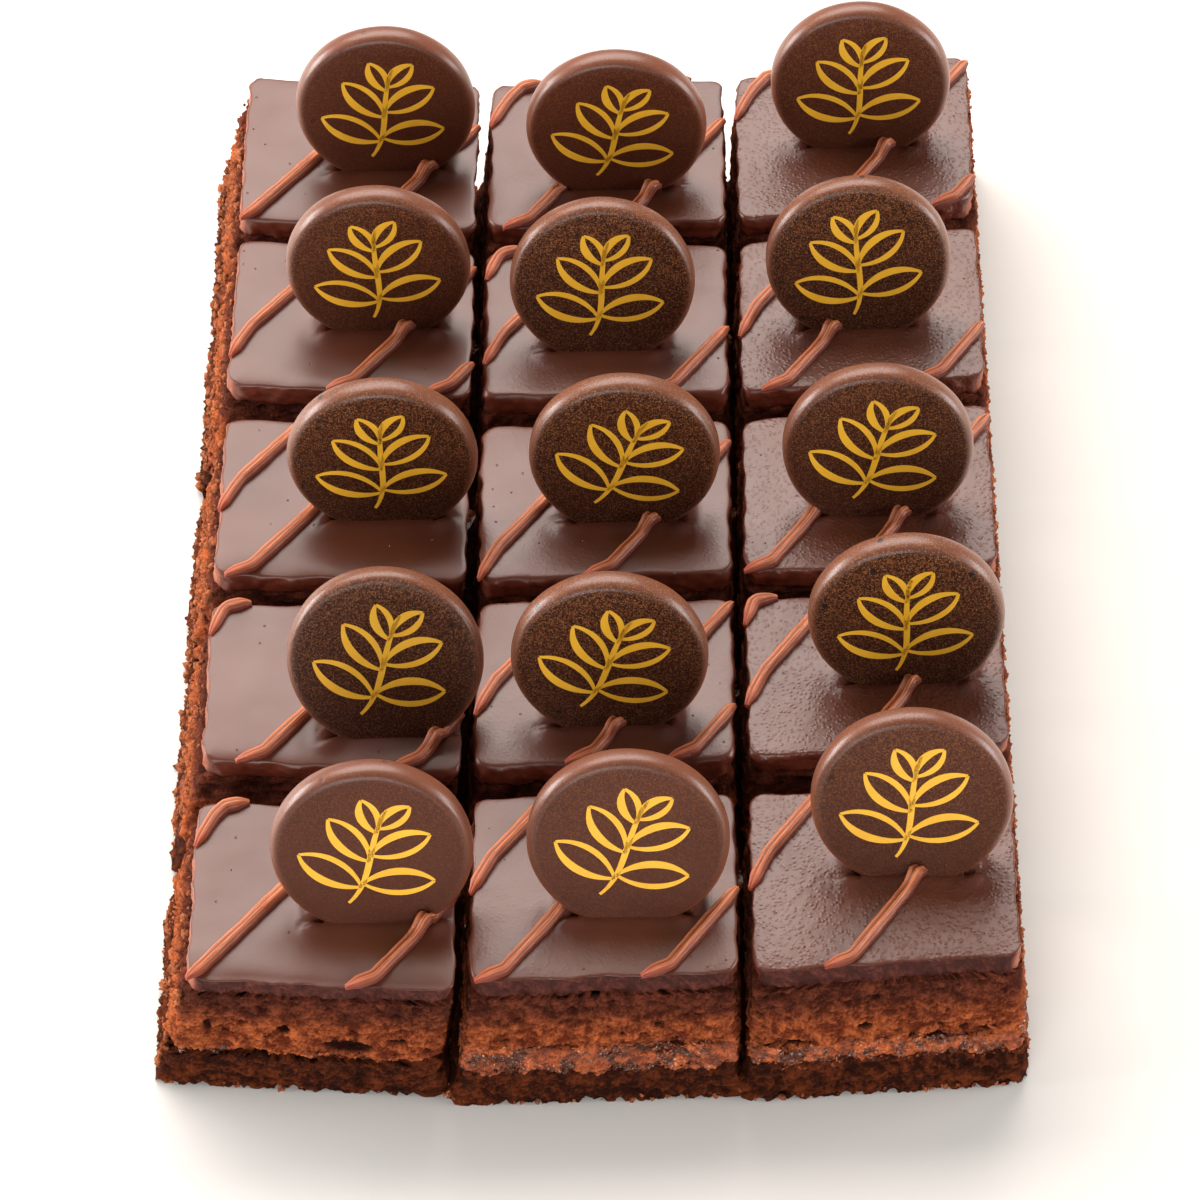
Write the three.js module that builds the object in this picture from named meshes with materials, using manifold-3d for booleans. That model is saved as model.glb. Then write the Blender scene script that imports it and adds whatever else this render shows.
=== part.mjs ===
// A chocolate sheet cake, cut into three columns of five squares that still lie together.
// Each square is a sponge with a jam line, a thick chocolate glaze with piped drizzle on
// it, and a chocolate disc pushed into the glaze on its edge.
// Millimetres, +Z up, +X to the right and +Y to the back. Row 1 is the back row.
import * as THREE from "three";
import { mergeVertices } from "three/addons/utils/BufferGeometryUtils.js";
import Module from "manifold-3d";

const wasm = await Module();
wasm.setup();

// ---- driving dimensions ----

const ROWS = 5;
const COLUMNS = 3;
const COLUMN_PITCH = 41.6;
const ROW_PITCH = 38.9;
const TOP_WIDTH = 38.8; // flat top of one square
const HEIGHT = 28; // from the base to the top of the glaze

// The long cuts are straight. The cross cuts bend at them, because the three strips were
// pushed together by hand: y of each row's two top edges at these four places in x.
const HALF_SHEET = 61;
const EDGE_STATIONS = [-HALF_SHEET, -20.8, 20.8, HALF_SHEET];
const BACK_EDGES = [
  [96.4, 93.3, 93.6, 98.1],
  [57.6, 53.9, 54.4, 57.0],
  [17.3, 14.5, 14.9, 17.3],
  [-21.0, -22.6, -22.9, -22.5],
  [-59.6, -61.2, -61.4, -61.7],
];
const FRONT_EDGES = [
  [63.8, 60.2, 60.8, 64.0],
  [26.1, 22.2, 21.9, 24.2],
  [-14.7, -17.0, -16.3, -15.9],
  [-51.0, -54.3, -53.5, -52.0],
  [-91.3, -94.5, -93.7, -91.3],
];
// Two squares of the left strip have slid forwards: row, column, distance.
const SLID = [[4, 1, -0.9], [5, 1, -1.8]];

// layers of a square, as heights above the base
const LOWER_SPONGE_TOP = 7.5;
const JAM_TOP = [10.4, 12.2, 11.8]; // the left strip has the thinnest jam
const GLAZE_BOTTOM = 23;
const LAYER_GAP = 0.3;
const LAYER_WAVE = 0.4; // how far a layer's surface rises and falls

// how the knife and the soft crumb leave the walls
const WALL_LEAN = -2.2; // the long cuts slope to the left on the way down
const WALL_FLARE = 4.0; // and the sheet is wider at its base
const LEFT_SKIRT = 1.4; // the crumbly left side of the sheet spreads further
const CROSS_FLARE = 1.5; // each square is deeper at its base, front and back
const FRONT_FLARE = [0, 2.9, 3.9]; // outer front wall, from the left column to the right
const PINCH = 0.6; // the right-hand long cut closes by this much on each side
const CORNER_RADIUS = 2.2;
const EDGE_ROUND_X = 0.5; // rounding of the glaze's top edge, sideways
const EDGE_ROUND_Y = 0.8;
const EDGE_ROUND_Z = 1.5;
const CRUMB_RELIEF = 0.55;

// chocolate discs
const DISC_RADIUS = 15;
const DISC_THICKNESS = 4.6;
const DISC_EDGE = 1.8; // rounding of its rim
const DISC_SEGMENTS = 24;
const DISC_SUNK = 3.0; // how deep its lowest point sits in the glaze
const DISC_CLEARANCE = 0.3;

// Foot of each disc from the nominal centre of its square, and its lean backwards in degrees.
const DISC_STANCE = [
  [{ x: 4.9, y: -2.3, lean: 9 }, { x: 1.9, y: -7.9, lean: 6 }, { x: 1.1, y: 0.9, lean: 10 }],
  [{ x: 4.8, y: -0.3, lean: 8 }, { x: -0.3, y: -6.0, lean: 14 }, { x: -0.4, y: -2.2, lean: 14 }],
  [{ x: 6.9, y: -2.9, lean: 6 }, { x: 3.3, y: -4.3, lean: 10 }, { x: 1.4, y: -3.9, lean: 12 }],
  [{ x: 8.5, y: -8.1, lean: 23 }, { x: 1.1, y: -6.7, lean: 12 }, { x: 4.7, y: 0.6, lean: 10 }],
  [{ x: 7.8, y: -4.4, lean: 16 }, { x: 3.9, y: -4.1, lean: 19 }, { x: 4.2, y: 2.7, lean: 19 }],
];

// Drizzle: long lines piped over the whole sheet from front left to back right.
// Each crosses x = 0 at its own y, and all share one slope and one slight bend.
const DRIZZLE_CROSSINGS = [140, 112, 78.5, 57, 11, -16.5, -50.5, -71, -106, -142];
const DRIZZLE_SLOPE = 1.334;
const DRIZZLE_BEND = 0.00103;
const DRIZZLE_WIDTH = 2.0;
const DRIZZLE_HEIGHT = 1.3;
const DRIZZLE_SINK = 0.6; // how far its underside is buried in the glaze
const DRIZZLE_STEP = 13; // length of the straight stretches of one line
const DRIZZLE_SHORTEST = 4;
const KINK_FRONT = 2.5; // where a cut drags a line's end along the edge
const KINK_LEFT = 3.0;
const KINK_RUN = 3.5;
// Squares on which a line lies a little off its course: row, column, line, shift in y.
const DRIZZLE_SHIFTS = [
  [2, 2, 2, -2.5], [4, 1, 3, -4.4], [4, 1, 4, 4], [2, 2, 4, -2.5],
  [2, 3, 4, -4.5], [4, 3, 6, -4.5], [5, 2, 7, -3],
];

// ---- materials ----

const colours = {
  glaze: { color: 0x5a3630, roughness: 0.32, metalness: 0 },
  spongeUpper: { color: 0x7c4528, roughness: 0.95, metalness: 0 },
  jam: { color: 0x6e2f14, roughness: 0.25, metalness: 0 },
  spongeLower: { color: 0x57382a, roughness: 0.95, metalness: 0 },
  disc: { color: 0x4a2b22, roughness: 0.5, metalness: 0 },
};
const materials = {};
for (const [name, values] of Object.entries(colours)) {
  materials[name] = new THREE.MeshStandardMaterial(values);
}

// ---- the plan of a square ----

const radians = THREE.MathUtils.degToRad;

function squareCentre(row, column) {
  return new THREE.Vector2(
    (column - (COLUMNS + 1) / 2) * COLUMN_PITCH,
    ((ROWS + 1) / 2 - row) * ROW_PITCH,
  );
}

// y of the top edge on one side (-1 front, 1 back) of a square, at x.
function edgeY(row, column, side, x) {
  const edge = (side > 0 ? BACK_EDGES : FRONT_EDGES)[row - 1];
  const from = EDGE_STATIONS[column - 1];
  const share = (x - from) / (EDGE_STATIONS[column] - from);
  const slid = SLID.find(([r, c]) => r === row && c === column);
  return THREE.MathUtils.lerp(edge[column - 1], edge[column], share) + (slid ? slid[2] : 0);
}

// Share of the way down from the top of the glaze to the base.
function depthShare(z) {
  return 1 - z / HEIGHT;
}

// How far the right-hand long cut has closed at height z.
function pinchAt(z) {
  return PINCH * THREE.MathUtils.smoothstep(depthShare(z), 0.15, 0.5);
}

// The four corners of a square's outline at height z, grown outwards by growX and growY.
function corners(row, column, z, growX, growY) {
  const centre = squareCentre(row, column);
  const down = depthShare(z);
  const wallX = (side) => {
    const top = centre.x + side * (TOP_WIDTH / 2);
    const closesRight = column === 2 && side > 0;
    const closesLeft = column === 3 && side < 0;
    const pinch = closesRight || closesLeft ? side * pinchAt(z) : 0;
    const skirt = column === 1 && side < 0 ? LEFT_SKIRT : 0;
    const lean = WALL_LEAN + (WALL_FLARE * top) / HALF_SHEET - skirt;
    return top + down * lean + pinch + side * growX;
  };
  const wallY = (side, x) => {
    const outerFront = row === ROWS && side < 0;
    const flare = outerFront ? FRONT_FLARE[column - 1] : CROSS_FLARE;
    return edgeY(row, column, side, x) + side * (down * flare + growY);
  };
  const corner = (sideX, sideY) => {
    const x = wallX(sideX);
    return new THREE.Vector2(x, wallY(sideY, x));
  };
  return [corner(-1, -1), corner(1, -1), corner(1, 1), corner(-1, 1)];
}

// A closed outline with rounded corners, and sidePoints points along each straight side.
function outline(quad, sidePoints) {
  const points = [];
  quad.forEach((corner, i) => {
    const before = quad[(i + 3) % 4];
    const after = quad[(i + 1) % 4];
    const toBefore = before.clone().sub(corner).setLength(CORNER_RADIUS);
    const toAfter = after.clone().sub(corner).setLength(CORNER_RADIUS);
    const bend = new THREE.QuadraticBezierCurve(
      corner.clone().add(toBefore), corner, corner.clone().add(toAfter));
    points.push(bend.getPoint(0), bend.getPoint(0.5), bend.getPoint(1));
    const next = after.clone().add(corner.clone().sub(after).setLength(CORNER_RADIUS));
    for (let k = 1; k <= sidePoints; k++) {
      points.push(bend.getPoint(1).lerp(next, k / (sidePoints + 1)));
    }
  });
  return points;
}

// A solid through rings of equal count, closed by a fan at the bottom and at the top.
// bottomOf and topOf, when given, bend those two faces to a surface.
function loft(rings, bottomOf, topOf) {
  const count = rings[0].points.length;
  const positions = [];
  const index = [];
  rings.forEach((ring, level) => {
    const bent = (level === 0 && bottomOf) || (level === rings.length - 1 && topOf);
    for (const p of ring.points) positions.push(p.x, p.y, bent ? bent(p.x, p.y) : ring.z);
  });
  for (let level = 0; level + 1 < rings.length; level++) {
    for (let i = 0; i < count; i++) {
      const a = level * count + i;
      const b = level * count + ((i + 1) % count);
      index.push(a, b, b + count, a, b + count, a + count);
    }
  }
  const cap = (level, bent, up) => {
    const ring = rings[level];
    const middle = new THREE.Vector2();
    for (const p of ring.points) middle.addScaledVector(p, 1 / count);
    const apex = positions.length / 3;
    positions.push(middle.x, middle.y, bent ? bent(middle.x, middle.y) : ring.z);
    for (let i = 0; i < count; i++) {
      const a = level * count + i;
      const b = level * count + ((i + 1) % count);
      index.push(apex, ...(up ? [a, b] : [b, a]));
    }
  };
  cap(0, bottomOf, false);
  cap(rings.length - 1, topOf, true);
  const geometry = new THREE.BufferGeometry();
  geometry.setAttribute("position", new THREE.Float32BufferAttribute(positions, 3));
  geometry.setIndex(index);
  return geometry;
}

// ---- joining and cutting ----

function toSolid(geometry) {
  const bare = geometry.clone();
  bare.deleteAttribute("normal");
  bare.deleteAttribute("uv");
  const merged = mergeVertices(bare, 1e-4);
  return new wasm.Manifold(new wasm.Mesh({
    numProp: 3,
    vertProperties: merged.attributes.position.array,
    triVerts: new Uint32Array(merged.index.array),
  }));
}

function toGeometry(solid) {
  const mesh = solid.getMesh();
  const geometry = new THREE.BufferGeometry();
  geometry.setAttribute("position", new THREE.BufferAttribute(mesh.vertProperties, 3));
  geometry.setIndex(new THREE.BufferAttribute(mesh.triVerts, 1));
  return geometry;
}

// ---- sponge and jam ----

// A smooth, repeatable unevenness between -1 and 1.
function crumb(x, y, z) {
  return (
    Math.sin(1.9 * x + 0.7 * y + 0.3 * z) * Math.cos(1.3 * y - 0.6 * x + 1.1 * z) * 0.6 +
    Math.sin(0.53 * x - 0.41 * y + 0.9 * z) * 0.4
  );
}

// Heights of the two faces that the jam shares with the sponges.
function waveAt(x, y) {
  return LAYER_WAVE * Math.sin(0.31 * x + 0.17 * y) * Math.cos(0.23 * y - 0.11 * x);
}

// A ring of the crumbly wall at height z; inset draws it in, as along the jam line.
function crumbRing(row, column, z, inset = 0) {
  const quad = corners(row, column, z, EDGE_ROUND_X - inset, EDGE_ROUND_Y - inset);
  const centre = squareCentre(row, column);
  const points = outline(quad, 2).map((p) => {
    const inwards = centre.clone().sub(p).normalize();
    return p.addScaledVector(inwards, (CRUMB_RELIEF * (1 + crumb(p.x, p.y, z))) / 2);
  });
  return { z, points };
}

function crumbLayer(row, column, heights, bottomOf, topOf) {
  const rings = heights.map(([z, inset]) => crumbRing(row, column, z, inset));
  return loft(rings, bottomOf, topOf);
}

// The front row shows its cut: lower sponge, jam and upper sponge are separate layers.
function layeredSponge(row, column) {
  const half = LAYER_GAP / 2;
  const jamTop = JAM_TOP[column - 1];
  const jamFloor = (x, y) => LOWER_SPONGE_TOP + waveAt(x, y) + half;
  const jamRoof = (x, y) => jamTop - waveAt(x, y) - half;
  const lowerRoof = (x, y) => jamFloor(x, y) - LAYER_GAP;
  const upperFloor = (x, y) => jamRoof(x, y) + LAYER_GAP;
  const middle = (jamTop + LOWER_SPONGE_TOP) / 2;
  return {
    sponge_lower: [
      crumbLayer(row, column, [[0, 0], [4, 0], [LOWER_SPONGE_TOP, 0.3]], null, lowerRoof),
      materials.spongeLower,
    ],
    jam: [
      crumbLayer(row, column,
        [[LOWER_SPONGE_TOP, 0.3], [middle, 0.1], [jamTop, 0.3]], jamFloor, jamRoof),
      materials.jam,
    ],
    sponge_upper: [
      crumbLayer(row, column,
        [[jamTop, 0.3], [16, 0], [GLAZE_BOTTOM - half, 0]], upperFloor, null),
      materials.spongeUpper,
    ],
  };
}

// The other squares show hardly any cut, so each has one sponge with the jam line as a
// shallow groove.
function plainSponge(row, column) {
  const top = GLAZE_BOTTOM - LAYER_GAP / 2;
  const heights = [[0, 0], [10, 0.7], [16, 0], [top, 0]];
  return { sponge: [crumbLayer(row, column, heights, null, null), materials.spongeUpper] };
}

// ---- discs ----

// A flat disc with a rounded rim, grown by clearance, about its own axis.
function discGeometry(clearance) {
  const radius = DISC_RADIUS + clearance;
  const half = DISC_THICKNESS / 2 + clearance;
  const edge = DISC_EDGE + clearance;
  const slope = Math.SQRT1_2;
  const rim = [
    [radius - edge, half],
    [radius - edge * (1 - slope), half - edge * (1 - slope)],
    [radius, 0],
  ];
  const upper = rim.map(([r, h]) => new THREE.Vector2(r, h));
  const lower = rim.slice(0, 2).map(([r, h]) => new THREE.Vector2(r, -h));
  const profile = [
    new THREE.Vector2(0, -half), lower[0], lower[1], upper[2], upper[1], upper[0],
    new THREE.Vector2(0, half),
  ];
  return new THREE.LatheGeometry(profile, DISC_SEGMENTS);
}

function discFoot(row, column) {
  const stance = DISC_STANCE[row - 1][column - 1];
  const centre = squareCentre(row, column);
  return { x: centre.x + stance.x, y: centre.y + stance.y, lean: radians(stance.lean) };
}

// Places a disc on its edge, leaning backwards, with its face to the front.
function standDisc(object, row, column) {
  const foot = discFoot(row, column);
  const rise = DISC_RADIUS - DISC_SUNK;
  object.position.set(
    foot.x, foot.y + rise * Math.sin(foot.lean), HEIGHT + rise * Math.cos(foot.lean));
  object.rotation.set(Math.PI - foot.lean, 0, 0);
  object.updateMatrix();
  return object;
}

// ---- glaze ----

function glazeSlab(row, column) {
  const levels = [
    [GLAZE_BOTTOM + LAYER_GAP / 2, 1, 1],
    [HEIGHT - EDGE_ROUND_Z, 1, 1],
    [HEIGHT, 0, 0],
  ];
  const rings = levels.map(([z, growX, growY]) => ({
    z,
    points: outline(
      corners(row, column, z, growX * EDGE_ROUND_X, growY * EDGE_ROUND_Y), 1),
  }));
  return loft(rings);
}

function lineY(line, x) {
  return DRIZZLE_CROSSINGS[line] + DRIZZLE_SLOPE * x + DRIZZLE_BEND * x * x;
}

// The points where one line runs over a square, front end first, or none.
function linePoints(row, column, line) {
  const quad = corners(row, column, HEIGHT, EDGE_ROUND_X, EDGE_ROUND_Y);
  const [frontLeft, frontRight, backRight, backLeft] = quad;
  const shift = DRIZZLE_SHIFTS.find(([r, c, l]) => r === row && c === column && l === line);
  const at = (x) => lineY(line, x) + (shift ? shift[3] : 0);
  const share = (x) => (x - frontLeft.x) / (frontRight.x - frontLeft.x);
  const front = (x) => THREE.MathUtils.lerp(frontLeft.y, frontRight.y, share(x));
  const back = (x) => THREE.MathUtils.lerp(backLeft.y, backRight.y, share(x));
  const inside = [];
  const samples = 80;
  for (let i = 0; i <= samples; i++) {
    const x = THREE.MathUtils.lerp(frontLeft.x, frontRight.x, i / samples);
    const y = at(x);
    if (y >= front(x) && y <= back(x)) inside.push(new THREE.Vector2(x, y));
  }
  if (inside.length < 2) return [];
  const first = inside[0];
  const last = inside[inside.length - 1];
  const length = first.distanceTo(last);
  if (length < DRIZZLE_SHORTEST) return [];
  const steps = Math.max(1, Math.round((length - KINK_RUN) / DRIZZLE_STEP));
  const run = KINK_RUN / length;
  const points = [];
  for (let i = 0; i <= steps; i++) {
    const x = THREE.MathUtils.lerp(first.x, last.x, THREE.MathUtils.lerp(run, 1, i / steps));
    points.push(new THREE.Vector2(x, at(x)));
  }
  const startsLeft = first.x - frontLeft.x < 0.5;
  const start = startsLeft
    ? new THREE.Vector2(first.x, Math.max(first.y - KINK_LEFT, front(first.x)))
    : new THREE.Vector2(Math.max(first.x - KINK_FRONT, frontLeft.x), first.y);
  return [start, ...points];
}

// One stretch of drizzle: a half-round bead on the glaze.
function drizzleBead(points) {
  const lifted = points.map((p) => new THREE.Vector3(p.x, p.y, HEIGHT));
  const headings = lifted.map((p, i) => {
    const from = lifted[Math.max(i - 1, 0)];
    const to = lifted[Math.min(i + 1, lifted.length - 1)];
    return to.clone().sub(from).normalize();
  });
  const half = DRIZZLE_WIDTH / 2;
  const section = [
    [-half, -DRIZZLE_SINK], [half, -DRIZZLE_SINK], [half * 0.9, DRIZZLE_HEIGHT * 0.55],
    [0, DRIZZLE_HEIGHT], [-half * 0.9, DRIZZLE_HEIGHT * 0.55],
  ];
  const ring = (p, heading) => {
    const side = new THREE.Vector3(heading.y, -heading.x, 0).normalize();
    return section.map(([across, up]) =>
      p.clone().addScaledVector(side, across).add(new THREE.Vector3(0, 0, up)));
  };
  const rings = lifted.map((p, i) => ring(p, headings[i]));
  return toSolid(tube(rings));
}

// A closed tube through rings of points, with flat ends.
function tube(rings) {
  const count = rings[0].length;
  const positions = rings.flat().flatMap((p) => [p.x, p.y, p.z]);
  const index = [];
  for (let level = 0; level + 1 < rings.length; level++) {
    for (let i = 0; i < count; i++) {
      const a = level * count + i;
      const b = level * count + ((i + 1) % count);
      index.push(a, b + count, b, a, a + count, b + count);
    }
  }
  const last = (rings.length - 1) * count;
  for (let i = 1; i + 1 < count; i++) {
    index.push(0, i, i + 1);
    index.push(last, last + i + 1, last + i);
  }
  const geometry = new THREE.BufferGeometry();
  geometry.setAttribute("position", new THREE.Float32BufferAttribute(positions, 3));
  geometry.setIndex(index);
  return geometry;
}

// Glaze of one square: the slab, plus its drizzle, minus the slot where the disc stands.
function glazeGeometry(row, column) {
  let glaze = toSolid(glazeSlab(row, column));
  const wallQuad = (z) => corners(row, column, z, EDGE_ROUND_X, EDGE_ROUND_Y);
  const prism = toSolid(loft([HEIGHT - 3, HEIGHT + 3].map((z) => ({
    z,
    points: outline(wallQuad(HEIGHT - EDGE_ROUND_Z), 0),
  }))));
  for (let line = 0; line < DRIZZLE_CROSSINGS.length; line++) {
    const points = linePoints(row, column, line);
    if (points.length) glaze = glaze.add(drizzleBead(points).intersect(prism));
  }
  const seat = standDisc(new THREE.Mesh(discGeometry(DISC_CLEARANCE)), row, column);
  glaze = glaze.subtract(toSolid(seat.geometry.applyMatrix4(seat.matrix)));
  return toGeometry(glaze);
}

// ---- assembly ----

const sheet = new THREE.Group();

function addMesh(name, geometry, material) {
  geometry.computeVertexNormals();
  const mesh = new THREE.Mesh(geometry, material);
  mesh.name = name;
  sheet.add(mesh);
  return mesh;
}

for (let row = 1; row <= ROWS; row++) {
  for (let column = 1; column <= COLUMNS; column++) {
    const place = `_r${row}c${column}`;
    const layers = row === ROWS ? layeredSponge(row, column) : plainSponge(row, column);
    for (const [layer, [geometry, material]] of Object.entries(layers)) {
      addMesh(layer + place, geometry, material);
    }
    addMesh("glaze" + place, glazeGeometry(row, column), materials.glaze);
    standDisc(addMesh("disc" + place, discGeometry(0), materials.disc), row, column);
  }
}

// The origin is the middle of the base.
const box = new THREE.Box3().setFromObject(sheet);
const middle = box.getCenter(new THREE.Vector3());
sheet.position.set(-middle.x, -middle.y, -box.min.z);

const cake = new THREE.Group();
cake.add(sheet);

export default cake;
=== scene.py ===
import math

import bpy
import numpy as np
from mathutils import Matrix, Vector


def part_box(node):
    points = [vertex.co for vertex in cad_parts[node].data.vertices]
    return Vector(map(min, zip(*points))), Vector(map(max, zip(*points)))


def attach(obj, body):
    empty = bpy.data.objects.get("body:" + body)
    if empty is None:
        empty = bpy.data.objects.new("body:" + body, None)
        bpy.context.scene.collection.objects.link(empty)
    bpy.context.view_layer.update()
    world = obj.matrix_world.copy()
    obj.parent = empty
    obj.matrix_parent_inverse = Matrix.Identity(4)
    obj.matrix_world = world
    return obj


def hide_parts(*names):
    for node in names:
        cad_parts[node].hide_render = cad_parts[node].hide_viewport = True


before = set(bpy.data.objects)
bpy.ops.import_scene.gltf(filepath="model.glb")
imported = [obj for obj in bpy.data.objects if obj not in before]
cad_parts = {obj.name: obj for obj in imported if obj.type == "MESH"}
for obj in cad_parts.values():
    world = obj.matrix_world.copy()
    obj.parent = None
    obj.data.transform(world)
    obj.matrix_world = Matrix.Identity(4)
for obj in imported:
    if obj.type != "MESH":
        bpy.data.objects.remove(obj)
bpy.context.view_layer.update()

# ---- camera ----
# The sheet lies in front of the camera, which looks down on it steeply through a long lens,
# a little from the right and slightly tilted. Its stand is given in the sheet's own plan, in
# millimetres, with the middle of the grid at 0, 0; the disc in the middle says where that is.

MM = 0.001
HEIGHT = 28  # from the base to the top of the glaze
DISC_RISE = 12  # from the foot of a disc to its centre
MIDDLE_FOOT = (3.3, -4.3)
MIDDLE_LEAN = math.radians(10)
CAMERA_ELEVATION = math.radians(49.608)
CAMERA_AZIMUTH = math.radians(2.399)
CAMERA_ROLL = math.radians(-2.852)
CAMERA_AIM = (-0.829, -22.262)  # on the top of the glaze
CAMERA_DISTANCE = 780.328
LENS, SENSOR = 150, 36

disc_low, disc_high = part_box("disc_r3c2")
disc_middle = (disc_low + disc_high) / 2 / MM
SHEET_X = disc_middle.x - MIDDLE_FOOT[0]
SHEET_Y = disc_middle.y - MIDDLE_FOOT[1] - DISC_RISE * math.sin(MIDDLE_LEAN)

backwards = Vector((
    math.sin(CAMERA_AZIMUTH) * math.cos(CAMERA_ELEVATION),
    -math.cos(CAMERA_AZIMUTH) * math.cos(CAMERA_ELEVATION),
    math.sin(CAMERA_ELEVATION),
))
level_right = Vector((0, 0, 1)).cross(backwards).normalized()
level_up = backwards.cross(level_right)
turn = Matrix.Rotation(CAMERA_ROLL, 3, backwards)
aim = Vector((CAMERA_AIM[0] + SHEET_X, CAMERA_AIM[1] + SHEET_Y, HEIGHT)) * MM
stand = Matrix((turn @ level_right, turn @ level_up, backwards)).transposed().to_4x4()
stand.translation = aim + backwards * CAMERA_DISTANCE * MM
lens = bpy.data.cameras.new("camera")
lens.lens = LENS
lens.sensor_width = SENSOR
lens.clip_start = 0.01
camera = bpy.data.objects.new("camera", lens)
camera.matrix_world = stand
bpy.context.collection.objects.link(camera)
bpy.context.scene.camera = camera

# ---- sponge and jam ----
# Two sheets of chocolate sponge with a smear of apricot jam between them. A knife has cut them
# into three strips of five squares, so every wall is torn crumb: open, dry and full of air
# holes, with the wet jam pressed out in a line. The front row shows all three layers.

ROWS, COLUMNS = 5, 3
COLUMN_PITCH, ROW_PITCH = 41.6, 38.9
TOP_WIDTH, TOP_DEPTH = 38.8, 32
CROSS_GAP = 6  # between the tops of two squares of a strip
HALF_SHEET = 61
EDGE_STATIONS = [-HALF_SHEET, -20.8, 20.8, HALF_SHEET]
# y of the two top edges of each row at those places in x, because the cross cuts bend there
BACK_EDGES = [
    [96.4, 93.3, 93.6, 98.1],
    [57.6, 53.9, 54.4, 57.0],
    [17.3, 14.5, 14.9, 17.3],
    [-21.0, -22.6, -22.9, -22.5],
    [-59.6, -61.2, -61.4, -61.7],
]
FRONT_EDGES = [
    [63.8, 60.2, 60.8, 64.0],
    [26.1, 22.2, 21.9, 24.2],
    [-14.7, -17.0, -16.3, -15.9],
    [-51.0, -54.3, -53.5, -52.0],
    [-91.3, -94.5, -93.7, -91.3],
]
SLID = {(4, 1): -0.9, (5, 1): -1.8}  # squares that have slid forwards
LOWER_SPONGE_TOP = 7.5
JAM_TOP = [10.4, 12.2, 11.8]
JAM_SETBACK = [1.0, -0.1, 0.1]  # how far the jam lies behind the crumb around it
GLAZE_BOTTOM = 23
WALL_LEAN, WALL_FLARE, LEFT_SKIRT = -2.2, 4.0, 1.4
CROSS_FLARE, FRONT_FLARE = 1.5, [0, 2.9, 3.9]
PINCH = 0.6
CORNER_RADIUS = 2.2
EDGE_ROUND_X, EDGE_ROUND_Y, EDGE_ROUND_Z = 0.5, 0.8, 1.5
SHORT_OF_WALL = 0.25  # the crumb lies this far behind the smooth wall on average
OVERLAP = 0.5  # neighbouring layers reach into each other out of sight

SQUARES = [(row, column) for row in range(1, ROWS + 1) for column in range(1, COLUMNS + 1)]


def smoothstep(value, low, high):
    share = np.clip((np.asarray(value, float) - low) / (high - low), 0, 1)
    return share * share * (3 - 2 * share)


def square_centre(row, column):
    return (column - (COLUMNS + 1) / 2) * COLUMN_PITCH, ((ROWS + 1) / 2 - row) * ROW_PITCH


def edge_y(row, column, side, x):
    """y of the front (-1) or back (1) top edge of a square, at x."""
    edge = (BACK_EDGES if side > 0 else FRONT_EDGES)[row - 1]
    start, end = EDGE_STATIONS[column - 1], EDGE_STATIONS[column]
    share = (x - start) / (end - start)
    return edge[column - 1] * (1 - share) + edge[column] * share + SLID.get((row, column), 0)


def corners(row, column, heights, grow_x, grow_y):
    """Corners of a square's outline at some heights, front left first: levels x 4 x 2."""
    down = 1 - np.atleast_1d(np.asarray(heights, float)) / HEIGHT
    middle_x, _ = square_centre(row, column)

    def wall_x(side):
        top = middle_x + side * TOP_WIDTH / 2
        closes = (column, side) in ((2, 1), (3, -1))
        pinch = side * PINCH * smoothstep(down, 0.15, 0.5) if closes else 0
        skirt = LEFT_SKIRT if column == 1 and side < 0 else 0
        lean = WALL_LEAN + WALL_FLARE * top / HALF_SHEET - skirt
        return top + down * lean + pinch + side * grow_x

    def corner(side_x, side_y):
        x = wall_x(side_x)
        outer_front = row == ROWS and side_y < 0
        flare = FRONT_FLARE[column - 1] if outer_front else CROSS_FLARE
        y = edge_y(row, column, side_y, x) + side_y * (down * flare + grow_y)
        return np.stack([x, y], axis=-1)

    return np.stack([corner(-1, -1), corner(1, -1), corner(1, 1), corner(-1, 1)], axis=1)


def outer_sides(row, column):
    """Which sides of a square face out of the sheet: front, right, back, left."""
    return [row == ROWS, column == COLUMNS, row == 1, column == 1]


def unit(vectors):
    return vectors / np.linalg.norm(vectors, axis=-1, keepdims=True)


def rounded_outline(quads, steps):
    """Outlines with rounded corners for levels x 4 x 2 corners, with steps[i] points on side i."""
    columns = []
    for i in range(4):
        corner, before, after = quads[:, i], quads[:, i - 1], quads[:, (i + 1) % 4]
        arriving = unit(before - corner) * CORNER_RADIUS
        leaving = unit(after - corner) * CORNER_RADIUS
        for t in np.linspace(0, 1, 7):
            columns.append(corner + arriving * (1 - t) ** 2 + leaving * t**2)
        start, end = corner + leaving, after + unit(corner - after) * CORNER_RADIUS
        for t in np.linspace(0, 1, steps[i] + 2)[1:-1]:
            columns.append(start + (end - start) * t)
    return np.stack(columns, axis=1)


def grid_quads(number):
    """Faces between the neighbours in a grid of point numbers."""
    corner_numbers = [number[:-1, :-1], number[:-1, 1:], number[1:, 1:], number[1:, :-1]]
    return np.stack(corner_numbers, axis=-1).reshape(-1, 4).tolist()


def fan(apex, ring):
    """Triangles from one point to the sides of a closed ring."""
    return np.stack([np.full(len(ring), apex), np.roll(ring, -1), ring], axis=-1).tolist()


def closed_shell(rings):
    """Points and faces of a closed solid through rings: levels x points x 3."""
    levels, count, _ = rings.shape
    number = np.arange(levels * count).reshape(levels, count)
    faces = grid_quads(np.hstack([number, number[:, :1]]))
    points = np.concatenate([rings.reshape(-1, 3), [rings[0].mean(0), rings[-1].mean(0)]])
    faces += fan(levels * count, number[0]) + fan(levels * count + 1, number[-1, ::-1])
    return points, faces


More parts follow.
